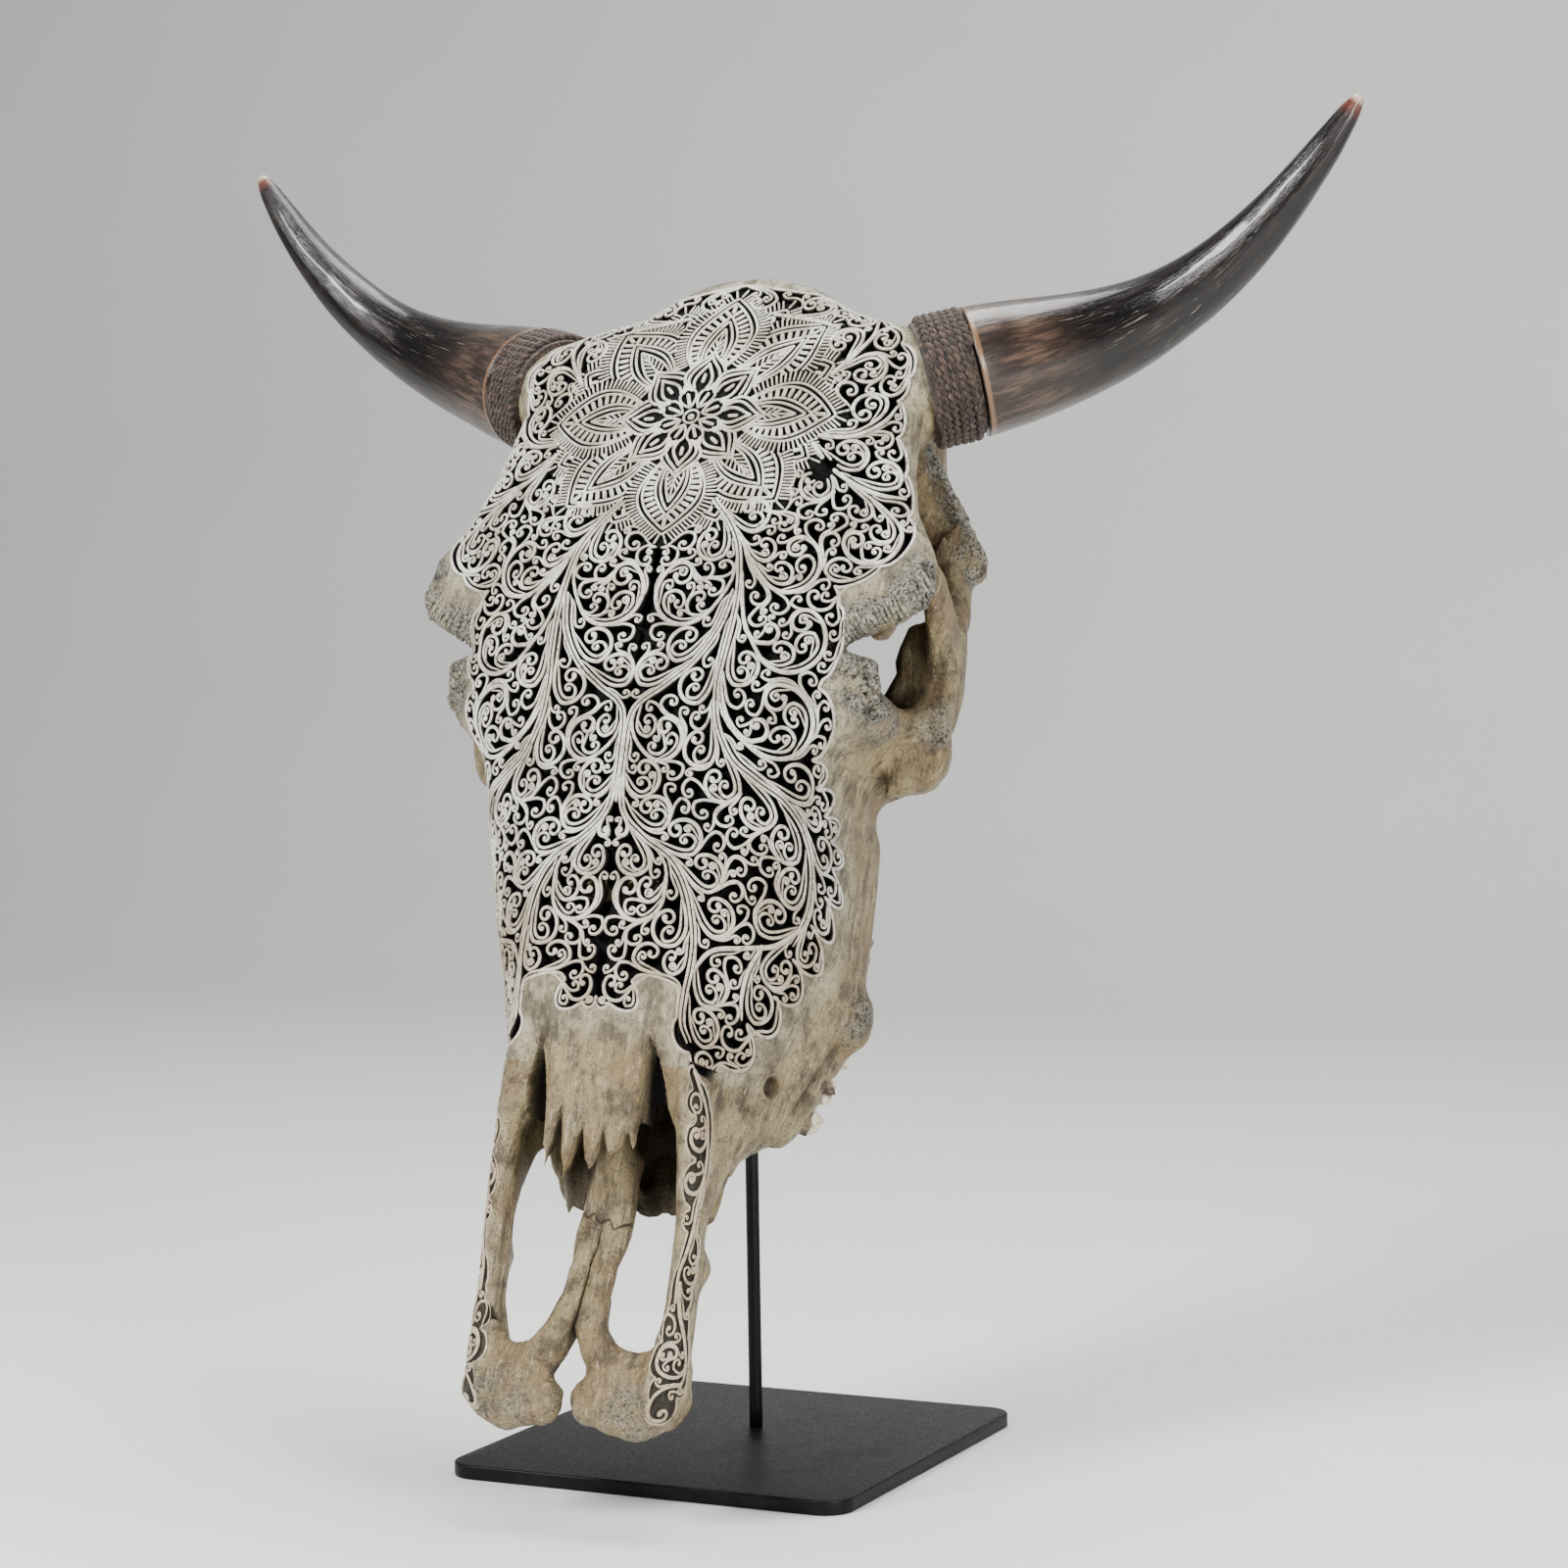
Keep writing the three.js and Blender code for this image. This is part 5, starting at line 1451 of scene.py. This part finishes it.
def makeTooth(name, number, side):
    random = np.random.default_rng(40 + number * 3 + side)
    bm = merged(name)
    p = toBone(np.array([v.co for v in bm.verts]))
    low, high = p.min(axis=0), p.max(axis=0)
    middle = (low + high) / 2
    pale = []
    for k in range(tooth["splinters"]):
        turn = 2 * math.pi * (k + random.uniform(0, 0.7)) / tooth["splinters"]
        size = random.uniform(1.3, 2.3) * (1.5 if number == 1 and k == 0 else 1)
        at = np.array([middle[0] + math.cos(turn) * (high[0] - low[0]) * 0.42,
                       high[1] - random.uniform(0.0, 3.0),
                       middle[2] + math.sin(turn) * (high[2] - low[2]) * 0.40])
        corners = at + random.uniform(-1, 1, (9, 3)) * (size, size * 1.9, size)
        hull(bm, corners)
        pale.append((at, size * 1.7))
    mesh = remeshed(meshFrom(bm, name + "_grown"), tooth["voxel"])
    p = relax(toBone(pointsOf(mesh)), mesh, tooth["rounds"])
    setPoints(mesh, p)
    n = normalsOf(mesh)
    enamel = np.zeros(len(p))
    for at, r in pale:
        enamel = np.maximum(enamel, ease(r * 1.25, r * 0.85, np.linalg.norm((p - at) * (1, 0.6, 1), axis=1)))
    t = clamp01((p[:, 1] - low[1]) / (high[1] - low[1]))
    rough = cloud(p, 3.0, number * 3.1, 4)
    chip = ease(0.0, 0.4, cloud(p * (1, 0.5, 1), 5.0, number * 2.3 + side, 2))
    chip *= ease(0.3, 0.95, t) * (1 - enamel)
    p = p + n * (rough * (0.65 - 0.4 * enamel))[:, None]
    p[:, 1] -= chip * 6.5
    paint(mesh, "worn",
          clamp01(ease(0.2, 0.9, chip) * 0.6 + ease(0.0, 0.6, rough) * 0.5) * (1 - enamel * 0.8))
    paint(mesh, "enamel", enamel)
    setPoints(mesh, toStand(p))
    place(name + "_worn", mesh, toothFinish, "tooth", name)


for side, label in sides:
    for number in range(1, 7):
        makeTooth("tooth_%s_%d" % (label, number), number, side)
print("teeth")

# The stand

stand = {"rodRadius": 2.8, "rodLow": 3.0, "rodHigh": 350.0, "rodBack": 18.0, "plate": 180.0, "thick": 6.0,
         "corner": 12.0, "edge": 0.8}


def makeStand():
    line = np.array([(0, stand["rodBack"], z) for z in np.linspace(stand["rodLow"], stand["rodHigh"], 30)])
    rod = sweep("rod", [(line, np.full(30, stand["rodRadius"]))], circle(40))[0]
    setPoints(rod, pointsOf(rod) / 1000)
    place("rod_steel", welded(rod), steelFinish, "steel", "stand_rod")
    bm = bmesh.new()
    bmesh.ops.create_cube(bm, size=1.0)
    bmesh.ops.scale(bm, vec=(stand["plate"], stand["plate"], stand["thick"]), verts=bm.verts)
    bmesh.ops.translate(bm, vec=(0, 0, stand["thick"] / 2), verts=bm.verts)
    corners = [e for e in bm.edges if abs(e.verts[0].co.z - e.verts[1].co.z) > 1]
    bmesh.ops.bevel(bm, geom=corners, offset=stand["corner"], segments=14, profile=0.5, affect="EDGES")
    bm.normal_update()
    rims = [e for e in bm.edges if abs(e.link_faces[0].normal.z - e.link_faces[1].normal.z) > 0.5]
    bmesh.ops.bevel(bm, geom=rims, offset=stand["edge"], segments=4, profile=0.5, affect="EDGES")
    mesh = meshFrom(bm, "plate")
    setPoints(mesh, pointsOf(mesh) / 1000)
    place("plate_steel", mesh, steelFinish, "steel", "stand_base")
    mesh.set_sharp_from_angle(angle=math.radians(40))


makeStand()
print("stand")

# The room, the lights and the camera

studio = {"half": 7.0, "front": -6.0, "back": 1.5, "bend": 0.9, "tall": 4.5,
          "azimuth": 25.8, "rise": 3.0, "roll": -0.9, "away": 1500.0, "lens": 85.23, "aim": (0, -58, 282),
          "shift": (49.2, 2.3)}


def makeStudio():
    bm = bmesh.new()
    profile = [(studio["front"], 0.0), (-1.5, 0.0), (0.0, 0.0), (studio["back"], 0.0)]
    for k in range(1, 13):
        a = math.radians(90 * k / 12)
        profile.append((studio["back"] + studio["bend"] * math.sin(a), studio["bend"] * (1 - math.cos(a))))
    profile.append((studio["back"] + studio["bend"], studio["tall"]))
    line = [bm.verts.new((-studio["half"], y, z)) for y, z in profile]
    edges = [bm.edges.new(pair) for pair in zip(line, line[1:])]
    made = bmesh.ops.extrude_edge_only(bm, edges=edges)["geom"]
    moved = [v for v in made if isinstance(v, bmesh.types.BMVert)]
    bmesh.ops.translate(bm, vec=(2 * studio["half"], 0, 0), verts=moved)
    bmesh.ops.recalc_face_normals(bm, faces=bm.faces)
    mesh = meshFrom(bm, "studio_sweep")
    floor = linked("studio_sweep", mesh)
    mesh.materials.append(floorFinish)
    mesh.shade_smooth()
    if mesh.polygons[0].normal.z < 0:
        mesh.flip_normals()


def lamp(name, at, aim, size, power):
    data = bpy.data.lights.new(name, "AREA")
    data.shape, data.size, data.size_y = "RECTANGLE", size[0], size[1]
    data.energy = power
    obj = linked(name, data)
    obj.location = at
    obj.rotation_euler = (Vector(aim) - Vector(at)).to_track_quat("-Z", "Y").to_euler()


lamps = {"key": {"at": (-0.75, -1.5, 1.35), "aim": (0, -0.08, 0.3), "size": (0.5, 0.7), "power": 40},
         "side": {"at": (1.5, -0.9, 0.75), "aim": (0, -0.05, 0.3), "size": (0.5, 1.0), "power": 22},
         "top": {"at": (0.15, 0.35, 1.8), "aim": (0, -0.05, 0.35), "size": (1.2, 0.8), "power": 22}}


def makeCamera():
    az, el, roll = (math.radians(studio[k]) for k in ("azimuth", "rise", "roll"))
    back = Vector((math.sin(az) * math.cos(el), -math.cos(az) * math.cos(el), math.sin(el)))
    right = Vector((math.cos(az), math.sin(az), 0))
    up = back.cross(right)
    across = right * math.cos(roll) + up * math.sin(roll)
    over = up * math.cos(roll) - right * math.sin(roll)
    aim = Vector(studio["aim"]) + across * studio["shift"][0] + over * studio["shift"][1]
    eye = (aim + back * studio["away"]) / 1000
    data = bpy.data.cameras.new("camera")
    data.lens, data.sensor_width, data.clip_start, data.clip_end = studio["lens"], 36, 0.05, 20
    obj = linked("camera", data)
    obj.matrix_world = Matrix.Translation(eye) @ Matrix((across, over, back)).transposed().to_4x4()
    bpy.context.scene.camera = obj


makeStudio()
makeCamera()
for name, settings in lamps.items():
    lamp(name, **settings)
world = bpy.data.worlds.new("studio_light")
bpy.context.scene.world = world
world.use_nodes = True
world.node_tree.nodes["Background"].inputs["Color"].default_value = (0.93, 0.95, 1.0, 1.0)
world.node_tree.nodes["Background"].inputs["Strength"].default_value = 0.30
bpy.context.scene.view_settings.look = "AgX - Medium High Contrast"
